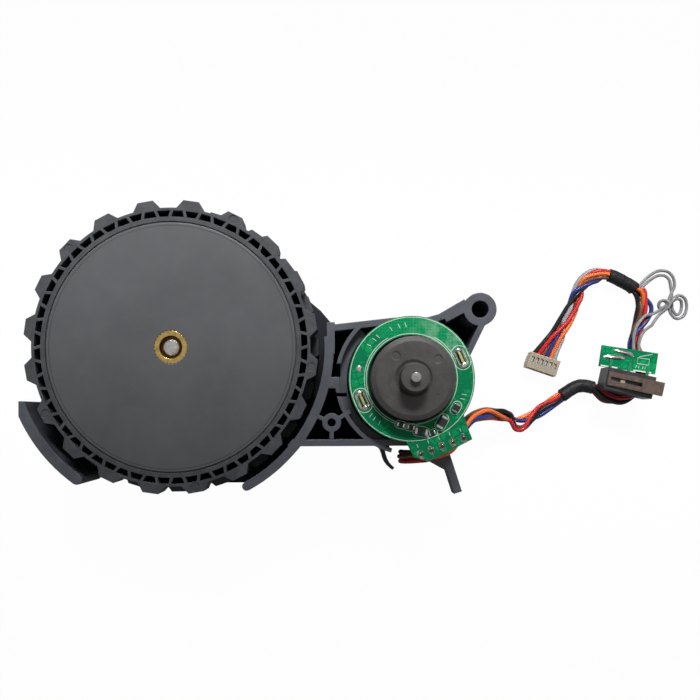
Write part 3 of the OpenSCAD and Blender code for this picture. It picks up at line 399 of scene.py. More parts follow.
def node(tree, kind, inputs=None, **options):
    """A shader node with its options set and its inputs filled: a socket is linked, and
    anything else is its value."""
    made = tree.nodes.new("ShaderNode" + kind)
    for key, value in options.items():
        setattr(made, key, value)
    for key, value in (inputs or {}).items():
        if isinstance(value, bpy.types.NodeSocket):
            tree.links.new(value, made.inputs[key])
        else:
            made.inputs[key].default_value = value
    return made


def math_node(tree, operation, a, b=0.0, c=None):
    """The value of a sum, product or comparison of sockets or numbers."""
    inputs = {0: a, 1: b}
    if c is not None:
        inputs[2] = c
    return node(tree, "Math", inputs, operation=operation).outputs[0]


def noise(tree, where, scale, detail=2.0, rough=0.5):
    """Cloudy values from 0 to 1 at the given scale, in features per metre."""
    return node(tree, "TexNoise", {"Vector": where, "Scale": scale, "Detail": detail,
                                   "Roughness": rough}).outputs["Fac"]


def remap(tree, value, low, high, to_low=0.0, to_high=1.0):
    """The value stretched from low..high to to_low..to_high, and held there."""
    return node(tree, "MapRange", {"Value": value, "From Min": low, "From Max": high,
                                   "To Min": to_low, "To Max": to_high}).outputs["Result"]


def mixed(tree, share, a, b):
    """Two colours mixed by a share."""
    made = node(tree, "Mix", {"Factor": share}, data_type="RGBA")
    for socket, value in ((made.inputs[6], a), (made.inputs[7], b)):
        if isinstance(value, bpy.types.NodeSocket):
            tree.links.new(value, socket)
        else:
            socket.default_value = (*value[:3], 1)
    return made.outputs[2]


def group(name, inputs, outputs, build):
    """A shader node group with named number sockets, built once."""
    if name in bpy.data.node_groups:
        return bpy.data.node_groups[name]
    tree = bpy.data.node_groups.new(name, "ShaderNodeTree")
    for label, value in inputs.items():
        socket = tree.interface.new_socket(name=label, in_out="INPUT", socket_type="NodeSocketFloat")
        socket.default_value = value
    for label in outputs:
        tree.interface.new_socket(name=label, in_out="OUTPUT", socket_type="NodeSocketFloat")
    come, leave = tree.nodes.new("NodeGroupInput"), tree.nodes.new("NodeGroupOutput")
    where = node(tree, "TexCoord").outputs["Object"]
    for label, socket in build(tree, come.outputs, where).items():
        tree.links.new(socket, leave.inputs[label])
    return tree


def moulded_grain():
    """Fine spark-eroded grain, with slow changes of shade and shine over the moulding."""
    def build(tree, given, where):
        fine = noise(tree, where, given["Grain"], 3.0, 0.6)
        broad = noise(tree, where, given["Cloud"], 3.0, 0.55)
        flow = noise(tree, where, math_node(tree, "MULTIPLY", given["Cloud"], 0.23), 1.0)
        shade = math_node(tree, "MULTIPLY_ADD", broad, 0.6, math_node(tree, "MULTIPLY", flow, 0.4))
        return {"Height": fine, "Shade": shade, "Shine": broad}
    return group("Moulded grain", {"Grain": 6000.0, "Cloud": 90.0}, ["Height", "Shade", "Shine"], build)


def worn_and_highlit_edges():
    """Share of edge lightening near outer edges, partly rubbed plastic and partly a painted highlight: how
    far the rounded normal leans from the face's own, broken up by noise."""
    def build(tree, given, where):
        rounded = node(tree, "Bevel", {"Radius": given["Reach"]}, samples=6).outputs["Normal"]
        flat = node(tree, "NewGeometry").outputs["Normal"]
        lean = node(tree, "VectorMath", {0: rounded, 1: flat}, operation="DOT_PRODUCT").outputs["Value"]
        mask = remap(tree, lean, 0.995, 0.86)
        patch = remap(tree, noise(tree, where, 700.0, 2.0), 0.32, 0.62, 0.35, 1.0)
        return {"Mask": math_node(tree, "MULTIPLY", mask, patch)}
    return group("Worn and highlit edges", {"Reach": 0.0003}, ["Mask"], build)


def settled_dust():
    """Specks and a thin film of dust on faces that look up."""
    def build(tree, given, where):
        up = node(tree, "SeparateXYZ", {0: node(tree, "NewGeometry").outputs["Normal"]}).outputs["Z"]
        film = remap(tree, noise(tree, where, 260.0, 4.0, 0.7), 0.42, 0.75)
        speck = remap(tree, noise(tree, where, 2600.0, 1.0), 0.70, 0.76)
        both = math_node(tree, "MAXIMUM", film, speck)
        upward = remap(tree, up, 0.5, 0.95)
        return {"Mask": math_node(tree, "MULTIPLY",
                                  math_node(tree, "MULTIPLY", both, upward), given["Amount"])}
    return group("Settled dust", {"Amount": 0.2}, ["Mask"], build)


def tool_marks():
    """Fine rings left by turning, about an upright axis through the given point."""
    def build(tree, given, where):
        centre = node(tree, "CombineXYZ", {0: given["Axis X"], 1: given["Axis Y"]}).outputs[0]
        arm = node(tree, "VectorMath", {0: where, 1: centre}, operation="SUBTRACT").outputs["Vector"]
        level = (1.0, 1.0, 0.0)
        flat = node(tree, "VectorMath", {0: arm, 1: level}, operation="MULTIPLY").outputs["Vector"]
        far = node(tree, "VectorMath", {0: flat}, operation="LENGTH").outputs["Value"]
        height = node(tree, "SeparateXYZ", {0: where}).outputs["Z"]
        line = node(tree, "CombineXYZ", {0: far, 2: height}).outputs[0]
        rings = noise(tree, line, given["Rings"], 2.0, 0.7)
        return {"Height": rings, "Shade": noise(tree, where, 900.0, 2.0), "Distance": far}
    return group("Tool marks", {"Axis X": 0.0, "Axis Y": 0.0, "Rings": 9000.0},
                 ["Height", "Shade", "Distance"], build)


def new_material(name):
    """A material with a Principled BSDF, and the tree and shader to build on."""
    made = bpy.data.materials.new(name)
    made.use_nodes = True
    return made, made.node_tree, made.node_tree.nodes["Principled BSDF"]


def set_shader(shader, values):
    """Sets plain numbers on the shader's own sockets."""
    for key, value in values.items():
        shader.inputs[key].default_value = value


def height_of(tree):
    """Height over the frame's origin."""
    return node(tree, "SeparateXYZ", {0: node(tree, "TexCoord").outputs["Object"]}).outputs["Z"]


def plastic(name, base, rough=0.5, grain=6000.0, depth=0.000012, spread=0.16, edge=0.0003,
            edge_wear_and_highlight=0.35, dust=0.12, cloud=90.0, recess_shade=None, line=None, more=None):
    """Moulded plastic: grain in the bump, slow clouds in colour and shine, pale edges that are partly rubbed
    and partly a painted highlight, and a little dust. Between the two heights given for the pockets it fades
    downwards to a painted shade, darker and less shiny, and line is a dark ring: its axis, its radius and
    half its width."""
    made, tree, shader = new_material(name)
    grained = node(tree, "Group", {"Grain": grain, "Cloud": cloud}, node_tree=moulded_grain())
    base = np.array(base)
    dark, light = base * (1 - spread), base * (1 + spread)
    shade = remap(tree, grained.outputs["Shade"], 0.35, 0.65)
    body = mixed(tree, shade, dark, light)
    # Edges lightened towards a pale tone: partly rubbed plastic, partly a painted highlight along the rounded
    # edges.
    if edge_wear_and_highlight:
        wear_and_highlight_mask = node(tree, "Group", {"Reach": edge * 1.1}, node_tree=worn_and_highlit_edges()).outputs["Mask"]
        pale = np.minimum(base * 2.1 + 0.012, 1)
        body = mixed(tree, math_node(tree, "MULTIPLY", wear_and_highlight_mask, edge_wear_and_highlight), body, pale)
    if dust:
        film = node(tree, "Group", {"Amount": dust}, node_tree=settled_dust()).outputs["Mask"]
        body = mixed(tree, film, body, (0.30, 0.30, 0.31))
    # Painted shade: below the upper height the colour darkens towards a fifth of its base and the specular
    # level drops, as if little light reached the pockets.
    if recess_shade:
        height = height_of(tree)
        body = mixed(tree, remap(tree, height, recess_shade[0], recess_shade[1], 0.85, 0.0), body, base * 0.2)
        tree.links.new(remap(tree, height, recess_shade[0], recess_shade[1], 0.06, 0.5), shader.inputs["Specular IOR Level"])
    if line:
        ring = node(tree, "Group", {"Axis X": line[0], "Axis Y": line[1]}, node_tree=tool_marks())
        off = math_node(tree, "ABSOLUTE", math_node(tree, "SUBTRACT", ring.outputs["Distance"], line[2]))
        body = mixed(tree, remap(tree, off, line[3] * 0.5, line[3], 0.75, 0.0), body, base * 0.2)
    tree.links.new(body, shader.inputs["Base Color"])
    tree.links.new(remap(tree, grained.outputs["Shine"], 0.3, 0.7, rough - 0.06, rough + 0.08),
                   shader.inputs["Roughness"])
    rounded = node(tree, "Bevel", {"Radius": edge}, samples=6).outputs["Normal"] if edge else None
    bump = {"Height": grained.outputs["Height"], "Strength": 1.0, "Distance": depth}
    if rounded:
        bump["Normal"] = rounded
    tree.links.new(node(tree, "Bump", bump).outputs["Normal"], shader.inputs["Normal"])
    set_shader(shader, more or {})
    return made


def metal(name, base, rough=0.28, axis=(0.0, 0.0), rings=9000.0, depth=0.000004, spread=0.18,
          edge=0.00012, recess_shade=None):
    """Turned or drawn metal: fine rings in the bump about the given axis, and clouds of shade and shine.
    Between the two heights given for a recess it fades downwards to dark brown, a painted shade."""
    made, tree, shader = new_material(name)
    marks = node(tree, "Group", {"Axis X": axis[0], "Axis Y": axis[1], "Rings": rings},
                 node_tree=tool_marks())
    base = np.array(base)
    shade = remap(tree, marks.outputs["Shade"], 0.35, 0.65)
    body = mixed(tree, shade, base * (1 - spread), np.minimum(base * (1 + spread), 1))
    # Painted shade: the metal turns dark brown towards the bottom of the given heights, as if in shadow.
    if recess_shade:
        height = height_of(tree)
        body = mixed(tree, remap(tree, height, recess_shade[0], recess_shade[1], 0.95, 0.0), body, (0.06, 0.025, 0.012))
    tree.links.new(body, shader.inputs["Base Color"])
    tree.links.new(remap(tree, marks.outputs["Height"], 0.3, 0.7, rough - 0.08, rough + 0.1),
                   shader.inputs["Roughness"])
    rounded = node(tree, "Bevel", {"Radius": edge}, samples=4).outputs["Normal"]
    bump = node(tree, "Bump", {"Height": marks.outputs["Height"], "Strength": 1.0,
                               "Distance": depth, "Normal": rounded})
    tree.links.new(bump.outputs["Normal"], shader.inputs["Normal"])
    set_shader(shader, {"Metallic": 1.0})
    return made


def wear_material(node_name, material):
    """Puts a material on a CAD node through its object's slots."""
    made = NODES[node_name]
    if not made.material_slots:
        made.data.materials.append(material)
    for s in made.material_slots:
        s.material = material


# Camera and cords


# The camera's place in metres, its lens in millimetres, and how far the picture is shifted
CAMERA_PLACE = (-0.0359, -0.0253, 0.231)
CAMERA_LENS = 43.35
CAMERA_SHIFT = (0.0286, 0.0929)


class MODULE_OT_camera(bpy.types.Operator):
    """Put the camera straight above the module, where the photograph was taken"""

    bl_idname = "wheel_module.camera"
    bl_label = "Camera"

    def execute(self, context):
        data = bpy.data.cameras.new("camera")
        data.lens, data.sensor_width = CAMERA_LENS, 36
        data.shift_x, data.shift_y = CAMERA_SHIFT
        data.clip_start, data.clip_end = 0.01, 10
        camera = bpy.data.objects.new("camera", data)
        camera.location = CAMERA_PLACE
        context.scene.collection.objects.link(camera)
        context.scene.camera = camera
        return {"FINISHED"}


# Linear colour of each wire's skin, in the order of the plan
WIRE_SKINS = {
    "orange": (0.90, 0.180, 0.030), "red": (0.62, 0.028, 0.030), "blue": (0.022, 0.040, 0.21),
    "black": (0.010, 0.011, 0.014), "brown": (0.19, 0.070, 0.045), "grey": (0.37, 0.37, 0.40)}
# The connector's way that each wire ends in
WIRE_WAYS = [4, 1, 3, 0, 2, 5]
WAYS = len(WIRE_WAYS)
# How far the wires run into the connector's back, and how high they do so
WAY_INSIDE = 0.6
WAY_HEIGHT = 1.3
# Route points: how far apart the wires join the bundle, where the grey one starts in the
# upper sleeve, where all spread out to the connector, and what each sleeve covers
WIRE_STEP = 0.55
GREY_START = 30
SPREAD_START = 37.2
LOWER_SLEEVE = (17, 19)
UPPER_SLEEVE = (29, 31)
# Heights of a wire just under its pad, and how far its two end points lie under the board's face
UNDER_BOARD = 29.3
WIRE_ENDS = (1.15, 1.9)
# Where the leads' small loops begin, their radii, and how high a loop climbs over itself
LOOP_START = 16.3
LOOP_RADII = (0.95, 1.25)
LOOP_LIFT = 0.9
# Room between a wire and the floor
FLOOR_ROOM = 0.03


def wire_material(name, skin):
    """Smooth wire skin with faint mottling and hardly any dust."""
    return plastic(name, skin, rough=0.34, grain=3500.0, depth=0.000006, spread=0.10, edge=0,
                   edge_wear_and_highlight=0, dust=0.02, cloud=400.0, more={"Specular IOR Level": 0.32})


def run_frames():
    """The bundle's smoothed route and its frames, and the place of each ring counted in
    route points. The reference swings from Y to Z where the bundle turns level."""
    path = smooth_path(RUN_ROUTE, 10)
    at = np.linspace(0, len(RUN_ROUTE) - 1, len(path))
    swing = np.clip((at - 7) / 5, 0, 1) * math.pi / 2
    reference = np.stack([0 * swing, np.cos(swing), np.sin(swing)], 1)
    return path, at, frames(path, reference)


def planned(plan, column, at):
    """One column of a plan along the route: straight between its rows, then averaged over
    five neighbours."""
    values = np.interp(at, plan[:, 0], plan[:, column])
    return np.convolve(np.pad(values, 2, mode="edge"), np.ones(5) / 5, "valid")


def strand(number, path, at, axes):
    """One wire of the bundle: route + right(at) side + above(at) up."""
    _, side, up = axes
    right = planned(WIRE_PLAN, 1 + 2 * number, at)[:, None]
    above = planned(WIRE_PLAN, 2 + 2 * number, at)[:, None]
    return path + right * side + above * up


def eased(x):
    """Smooth step from 0 to 1."""
    x = np.clip(x, 0, 1)
    return x * x * (3 - 2 * x)


def way_place(way):
    """Where a wire ends in the back of the connector, for the way's number from the left."""
    c, s = heading(PLUG_TURN)
    across, back = (way - (WAYS - 1) / 2) * PLUG_PITCH, PLUG_DEPTH / 2 - WAY_INSIDE
    return np.array([c * across - s * back + PLUG[0], s * across + c * back + PLUG[1], WAY_HEIGHT])


class MODULE_OT_harness(bpy.types.Operator):
    """Lay the wires of the bundle from the motor board to the connector"""

    bl_idname = "wheel_module.harness"
    bl_label = "Harness wires"

    def execute(self, context):
        sizes, _, _ = settings()
        path, at, axes = run_frames()
        radius = sizes.wire_diameter / MM / 2
        parts = []
        for i, name in enumerate(WIRE_SKINS):
            starts = GREY_START if name == "grey" else WIRE_STEP * i
            line, here = strand(i, path, at, axes), at
            line[:, 2] = np.maximum(line[:, 2], radius + FLOOR_ROOM)
            line, here = line[at >= starts], at[at >= starts]
            spread = eased((here - SPREAD_START) / (at[-1] - SPREAD_START))[:, None]
            line = line + spread * (way_place(WIRE_WAYS[i]) - line)
            if name != "grey":
                pad = pad_place(PAD_COUNT - 1 - i)
                leave = 1 - eased((here - starts) / 1.2)[:, None]
                line = line + leave * (np.array([*pad, UNDER_BOARD]) - line)
                drop = np.array([[*pad, BOARD_TOP - deep] for deep in WIRE_ENDS])
                line = smooth_path(np.vstack([drop, line[::3], line[-1:]]), 3)
            steep = np.abs(unit(np.gradient(line, axis=0))[:, 2:]) > 0.8
            reference = np.where(steep, np.array([0.0, 1.0, 0.0]), UP)
            parts.append((tube(line, radius, sizes.wire_sides, reference), i))
        skins = [wire_material("wire_" + name, skin) for name, skin in WIRE_SKINS.items()]
        wires = piece("harness_wires", parts, "root", skins)
        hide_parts("harness_run")
        context.scene["harness_wires"] = wires.name
        return {"FINISHED"}


class MODULE_OT_leads(bpy.types.Operator):
    """Lay the two thin leads of the drop switch in their small loops"""

    bl_idname = "wheel_module.leads"
    bl_label = "Switch leads"

    def execute(self, context):
        sizes, _, _ = settings()
        path = smooth_path(LEADS_ROUTE, 10)
        at = np.linspace(0, len(LEADS_ROUTE) - 1, len(path))
        axes = frames(path, UP)
        radius = sizes.lead_diameter / MM / 2
        parts = []
        for i, loop_r in enumerate(LOOP_RADII):
            line = path + planned(LEAD_PLAN, 1 + i, at)[:, None] * axes[1]
            line[:, 2] = np.maximum(line[:, 2] + 0.3 * (i - 0.5), radius + FLOOR_ROOM)
            line = self.looped(line, axes, at >= LOOP_START, loop_r)
            parts.append((tube(line, radius, sizes.wire_sides, UP), 0))
        pale = wire_material("lead_grey", (0.30, 0.30, 0.31))
        leads = piece("switch_lead_wires", parts, "root", pale)
        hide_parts("switch_leads")
        return {"FINISHED"}

    def looped(self, line, axes, after, loop_r):
        """The lead with one more round turn to its right, which climbs over itself."""
        k = int(np.argmax(after))
        ahead, right = axes[0][k], axes[1][k]
        a = np.linspace(0, 2 * math.pi, 30)[1:-1, None]
        climb = LOOP_LIFT * a / (2 * math.pi) * UP
        turn = line[k] + loop_r * ((1 - np.cos(a)) * right + np.sin(a) * ahead) + climb
        sink = 1 - eased(np.arange(len(line) - k) / 22)
        rest = line[k:] + LOOP_LIFT * sink[:, None] * UP
        return np.vstack([line[:k], turn, rest])


class MODULE_OT_sleeves(bpy.types.Operator):
    bl_idname = "wheel_module.sleeves"
    bl_label = "Shrink sleeves"

    def execute(self, context):
        sizes, colours, _ = settings()
        skin = plastic("sleeve_skin", colours.shrink, rough=0.52, grain=2600.0, depth=0.00002,
                       spread=0.25, edge=0, edge_wear_and_highlight=0, dust=0.06, cloud=260.0,
                       more={"Specular IOR Level": 0.22})
        path, at, _ = run_frames()
        r = sizes.sleeve_diameter / MM / 2
        for name, (first, last) in (("lower_sleeve", LOWER_SLEEVE), ("upper_sleeve", UPPER_SLEEVE)):
            line = smooth_path(path[(at >= first) & (at <= last)], 4)
            s = np.linspace(0, 1, len(line))
            thick = r * (0.96 + 0.02 * np.sin(19 * s) * np.sin(7 * s + 1) + 0.008 * np.sin(47 * s))
            thick[[0, -1]] *= 0.93
            sleeve = piece(name + "_skin", [(tube(line, thick, 20, UP), 0)], "root", skin)
            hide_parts(name)
        return {"FINISHED"}


# Solids' finishes


class MODULE_OT_arm(bpy.types.Operator):
    """Give the arm, the gear case and its screws their moulded and plated finishes"""

    bl_idname = "wheel_module.arm"
    bl_label = "Arm and case"

    def execute(self, context):
        sizes, colours, _ = settings()
        edge = sizes.edge_round
        # The arm darkens below 27 mm height, most below 14 mm: painted shade in its pockets.
        moulding = plastic("arm_moulding", colours.arm, rough=0.46, edge=edge, recess_shade=(0.014, 0.027))
        wear_material("arm_frame", moulding)
        # The hook wears the arm's colour at half brightness: a painted shade for a part that lies in shadow.
        hook = plastic("hook_shaded_moulding", np.array(colours.arm) * 0.5, rough=0.5, edge=edge, dust=0.05)
        wear_material("spring_hook", hook)
        finger = plastic("finger_moulding", np.array(colours.arm) * 1.1, rough=0.5, edge=edge, dust=0.2)
        wear_material("switch_finger", finger)
        wear_material("gear_case_cover", plastic("cover_moulding", np.array(colours.arm) * 0.9,
                                                 rough=0.5, edge=edge))
        wear_material("case_screws", metal("screw_zinc", (0.60, 0.61, 0.62), rough=0.34))
        return {"FINISHED"}


class MODULE_OT_wheel(bpy.types.Operator):
    """Give the wheel, its tyre, hub insert and axle their finishes"""

    bl_idname = "wheel_module.wheel"
    bl_label = "Wheel"

    def execute(self, context):
        _, colours, _ = settings()
        axis = tuple(WHEEL * MM)
        wear_material("wheel_disc", plastic("wheel_moulding", colours.disc, rough=0.44, grain=9000.0,
                                            depth=0.000006, spread=0.07, cloud=60.0, edge_wear_and_highlight=0.2,
                                            dust=0.05, line=(*axis, 0.02895, 0.00012)))
        wear_material("tyre", plastic("tyre_rubber", colours.rubber, rough=0.62, grain=7000.0,
                                      depth=0.000016, spread=0.12, edge=0.00025, edge_wear_and_highlight=0.3, dust=0.16))
        # Below 29.8 mm the insert is painted dark brown, as shade on its bore wall.
        wear_material("hub_insert", metal("insert_brass", colours.brass, rough=0.24, axis=axis,
                                          recess_shade=(0.0298, 0.0304)))
        wear_material("wheel_axle", metal("axle_steel", colours.steel, rough=0.30, axis=axis))
        return {"FINISHED"}


class MODULE_OT_gears(bpy.types.Operator):
    """Give the gear train, its pins and bushes their finishes"""

    bl_idname = "wheel_module.gears"
    bl_label = "Gears"

    def execute(self, context):
        _, colours, _ = settings()
        acetal = plastic("gear_acetal", (0.70, 0.67, 0.60), rough=0.38, edge=0.0001, edge_wear_and_highlight=0, dust=0)
        for name in ("output_gear", "second_gear", "first_gear"):
            wear_material(name, acetal)
        wear_material("motor_pinion", metal("pinion_brass", colours.brass, axis=tuple(MOTOR * MM)))
        bronze = metal("bush_bronze", (0.42, 0.28, 0.14), rough=0.42)
        for name in ("axle_bushes", "motor_bearings"):
            wear_material(name, bronze)
        wear_material("gear_pins", metal("pin_steel", colours.steel))
        return {"FINISHED"}


class MODULE_OT_motor(bpy.types.Operator):
    """Give the motor and its encoder magnet their finishes"""

    bl_idname = "wheel_module.motor"
    bl_label = "Motor"

    def execute(self, context):
        _, colours, _ = settings()
        axis = tuple(MOTOR * MM)
        wear_material("encoder_magnet", plastic("magnet_moulding", colours.magnet, rough=0.5,
                                                grain=5000.0, depth=0.00001, spread=0.16, edge=0.0003,
                                                edge_wear_and_highlight=0.25, dust=0.14, cloud=180.0))
        wear_material("motor_shaft", metal("shaft_steel", colours.steel, rough=0.26, axis=axis))
        wear_material("motor_can", metal("can_steel", (0.42, 0.43, 0.45), rough=0.36, axis=axis))
        wear_material("motor_end_cap", plastic("cap_moulding", (0.014, 0.014, 0.016)))
        wear_material("motor_magnets", plastic("ferrite", (0.05, 0.05, 0.052), rough=0.6))
        wear_material("motor_armature", metal("core_steel", (0.35, 0.36, 0.38), rough=0.45, axis=axis))
        wear_material("motor_commutator", metal("commutator_copper", (0.65, 0.30, 0.15), axis=axis))
        wear_material("motor_brushes", plastic("brush_carbon", (0.10, 0.06, 0.04), rough=0.6))
        wear_material("motor_terminals", metal("terminal_brass", (0.74, 0.62, 0.32), rough=0.36))
        return {"FINISHED"}


# Circuit boards


def board_material(name, colours, centre, reach, shine, flux):
    """Solder resist: darker on bare laminate, brighter on copper, a hatched copper field
    on the far side, and cloudy flux left by hand soldering. Reach is the board's radius
    about its centre, shine its specular level, and flux how white the film is."""
    made, tree, shader = new_material(name)
    where = node(tree, "TexCoord").outputs["Object"]
    moved = node(tree, "Mapping", {"Vector": where, "Scale": (1.0, 1.0, 0.0),
                                   "Location": (-centre[0], -centre[1], 0.0)}).outputs[0]
    far = node(tree, "VectorMath", {0: moved}, operation="LENGTH").outputs["Value"]
    axis = node(tree, "SeparateXYZ", {0: moved}).outputs
    cells = node(tree, "TexVoronoi", {"Vector": moved, "Scale": 620.0},
                 feature="DISTANCE_TO_EDGE").outputs["Distance"]
    traces = math_node(tree, "GREATER_THAN", cells, 0.09)
    pours = math_node(tree, "GREATER_THAN", noise(tree, moved, 190.0, 1.0), 0.5)
    copper = math_node(tree, "MULTIPLY", traces, pours)
    waves = [node(tree, "TexWave", {"Vector": moved, "Scale": 430.0},
                  bands_direction=way).outputs["Fac"] for way in ("X", "Y")]
    hatch = math_node(tree, "GREATER_THAN", math_node(tree, "MAXIMUM", *waves), 0.62)
    lean = math_node(tree, "ADD", math_node(tree, "MULTIPLY", axis["X"], 0.35), axis["Y"])
    field = remap(tree, lean, reach * 0.48, reach * 0.60)
    outside = math_node(tree, "SUBTRACT", 1.0, field)
    copper = math_node(tree, "MAXIMUM", math_node(tree, "MULTIPLY", copper, outside),
                       math_node(tree, "MULTIPLY", hatch, field))
    green = mixed(tree, math_node(tree, "MULTIPLY", copper, 0.6), tuple(colours.board),
                  tuple(colours.copper_green))
    cloud = noise(tree, moved, 330.0, 4.0, 0.65)
    corner = node(tree, "VectorMath", {0: moved, 1: (reach * 0.50, reach * 0.68, 0.0)},
                  operation="DISTANCE").outputs["Value"]
    smear = math_node(tree, "MULTIPLY", remap(tree, corner, reach * 0.62, reach * 0.15),
                      remap(tree, cloud, 0.40, 0.60))
    spots = remap(tree, noise(tree, moved, 900.0, 2.0), 0.62, 0.72, 0.0, 0.35)
    body = mixed(tree, math_node(tree, "MULTIPLY", smear, flux), green, (0.42, 0.66, 0.50))
    body = mixed(tree, spots, body, (0.08, 0.42, 0.23))
    tree.links.new(body, shader.inputs["Base Color"])
    tree.links.new(remap(tree, math_node(tree, "ADD", smear, math_node(tree, "MULTIPLY", cloud, 0.3)),
                         0.0, 1.0, 0.28, 0.6), shader.inputs["Roughness"])
    shader.inputs["Specular IOR Level"].default_value = shine
    height = math_node(tree, "MULTIPLY_ADD", copper, 1.0, math_node(tree, "MULTIPLY", cloud, 0.15))
    bump = node(tree, "Bump", {"Height": height, "Strength": 0.8, "Distance": 0.00002})
    tree.links.new(bump.outputs["Normal"], shader.inputs["Normal"])
    return made


def ink_material(name, colours):
    """Matt printing ink, slightly blotchy."""
    return plastic(name, colours.ink, rough=0.55, edge=0, edge_wear_and_highlight=0, dust=0, spread=0.08, cloud=1500.0)


def wavy(seed):
    """A wobble for turned(): the radius swells and shrinks by a tenth round the axis."""
    def scale(a):
        return 1 + 0.06 * np.sin(3 * a + seed) + 0.04 * np.sin(5 * a + 2 * seed)
    return scale


def arc(centre, radius, start, end, steps):
    """Points on a circle from one angle to another, in degrees."""
    a = np.radians(np.linspace(start, end, steps))
    return np.asarray(centre) + radius * np.stack([np.cos(a), np.sin(a)], 1)


def oval(centre, length, width, turn, steps=64):
    """Stadium outline: two half circles joined by straight sides, long side along turn."""
    a = np.linspace(0, 2 * math.pi, steps, endpoint=False)
    shift = (length - width) / 2 * np.sign(np.cos(a))
    p = np.stack([shift + width / 2 * np.cos(a), width / 2 * np.sin(a)], 1)
    c, s = heading(turn)
    return np.asarray(centre) + p @ np.array([[c, s], [-s, c]])


def pad_place(i):
    """Centre of wire pad i on the motor board."""
    return PAD_FIRST + PAD_PITCH * i * heading(PAD_TURN)


def around_motor(radius, angle):
    """A point at a distance and an angle from the motor's axis."""
    return MOTOR + radius * heading(angle)


def terminal_place(i):
    """Centre of motor terminal i, and its direction from the motor's axis in degrees."""
    turn = TERMINAL_TURN + 180 * i
    return around_motor(TERMINAL_R, turn), turn


class MODULE_OT_board(bpy.types.Operator):
    """Finish the motor board: resist, printed lines, solder joints and small parts"""

    bl_idname = "wheel_module.board"
    bl_label = "Motor board"

    def execute(self, context):
        sizes, colours, _ = settings()
        wear_material("motor_board", board_material("board_resist", colours, tuple(MOTOR * MM),
                                                    BOARD_R * MM, 0.10, 0.42))
        self.print_lines(sizes, ink_material("board_ink", colours))
        tin = metal("solder_tin", colours.tin, rough=0.22, spread=0.3, rings=2500.0, depth=0.00003)
        self.solder(sizes, tin)
        self.components(tin)
        return {"FINISHED"}

    def print_lines(self, sizes, ink):
        """Rings, frames round the terminals and parts, and short plain strokes."""
        w, low, high = sizes.ink_width / MM, BOARD_TOP, BOARD_TOP + INK
        lines = [(arc(MOTOR, 14.6, 0, 360, 200)[:-1], True), (arc(MOTOR, 10.75, 0, 360, 180)[:-1], True),
                 (arc(MOTOR, 11.2, 120, 262, 90), False), (arc(MOTOR, 11.2, 20, 62, 40), False)]
        for i in (0, 1):
            centre, turn = terminal_place(i)
            lines.append((oval(centre, 5.9, 3.7, turn + 90), True))
        for at, turn, box in CHIPS:
            lines.append((oval(at, box[0] + 1.3, box[1] + 0.9, turn, 40), True))
        inward = heading(PAD_TURN + 90)
        lines += [(np.array([pad_place(i) + far * inward for far in (1.75, 2.5)]), False)
                  for i in range(PAD_COUNT)]
        lines += [(np.array([around_motor(12.3, a), around_motor(13.4, a + 1)]), False)
                  for a in (96, 103, 112, 128, 133, 141, 221, 226, 233, 338, 343)]
        parts = [(ribbon(p, w, low, high, closed), 0) for p, closed in lines]
        piece("board_print", parts, "root", ink, smooth=False)

    def solder(self, sizes, tin):
        """Cones on the wire pads, tinned rings round the terminals and one filled hole."""
        h = sizes.solder_height / MM
        t = np.linspace(0, 1, 12)
        profile = np.stack([np.concatenate([[0.9], 1 - 0.62 * t]),
                            np.concatenate([[-0.02], h * t ** 1.4])], 1)
        tip = np.stack([np.array([0.36, 0.36, 0.24]), np.array([0, h + 0.15, h + 0.22])], 1)
        parts = []
        for i in range(PAD_COUNT):
            at = (*pad_place(i), BOARD_TOP)
            parts.append((placed(turned(profile, 40, (0.80, 1.22), wavy(i)), PAD_TURN, at), 0))
            parts.append((placed(turned(tip, 20), 0, at), 1))
        lump = np.stack([np.array([0.85, 0.8, 0.6, 0.3]), np.array([-0.02, 0.14, 0.3, 0.38])], 1)
        for i in (0, 1):
            centre, turn = terminal_place(i)
            parts.append((ribbon(oval(centre, 4.5, 2.1, turn + 90), 0.6, BOARD_TOP - 0.02,
                                 BOARD_TOP + 0.07, True), 0))
            for side in (-1, 1):
                at = (*(centre + side * 1.85 * heading(turn + 90)), BOARD_TOP)
                parts.append((placed(turned(lump, 28, (1.0, 0.8), wavy(side)), turn, at), 0))
        at = (*around_motor(TERMINAL_R, 169), BOARD_TOP)
        parts.append((placed(turned(lump, 32, wobble=wavy(3)), 0, at), 0))
        dark = metal("wire_end_copper", (0.13, 0.035, 0.025), rough=0.5)
        made = piece("solder_joints", parts, "root", [tin, dark])
        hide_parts("board_solder")

    def components(self, tin):
        """Small parts with tinned ends, in place of the plain blocks."""
        black = plastic("chip_moulding", (0.020, 0.020, 0.022), rough=0.45, edge=0, dust=0.1)
        parts = []
        for at, turn, (length, width, height) in CHIPS:
            body = soft_box((length * 0.35, width * 0.5, height * 0.5))
            cap = soft_box((length * 0.12, width * 0.51, height * 0.48))
            parts.append((placed(body, turn, (*at, BOARD_TOP + height / 2)), 0))
            for side in (-1, 1):
                end = at + side * length * 0.41 * heading(turn)
                parts.append((placed(cap, turn, (*end, BOARD_TOP + height * 0.48)), 1))
        made = piece("board_components", parts, "root", [black, tin])
        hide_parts("board_parts")


def strip_place(x, y, z):
    """A point of the drop switch's board, in the frame."""
    c, s = heading(STRIP_TURN)
    return np.array([SWITCH[0] + c * x - s * y, SWITCH[1] + s * x + c * y, z])


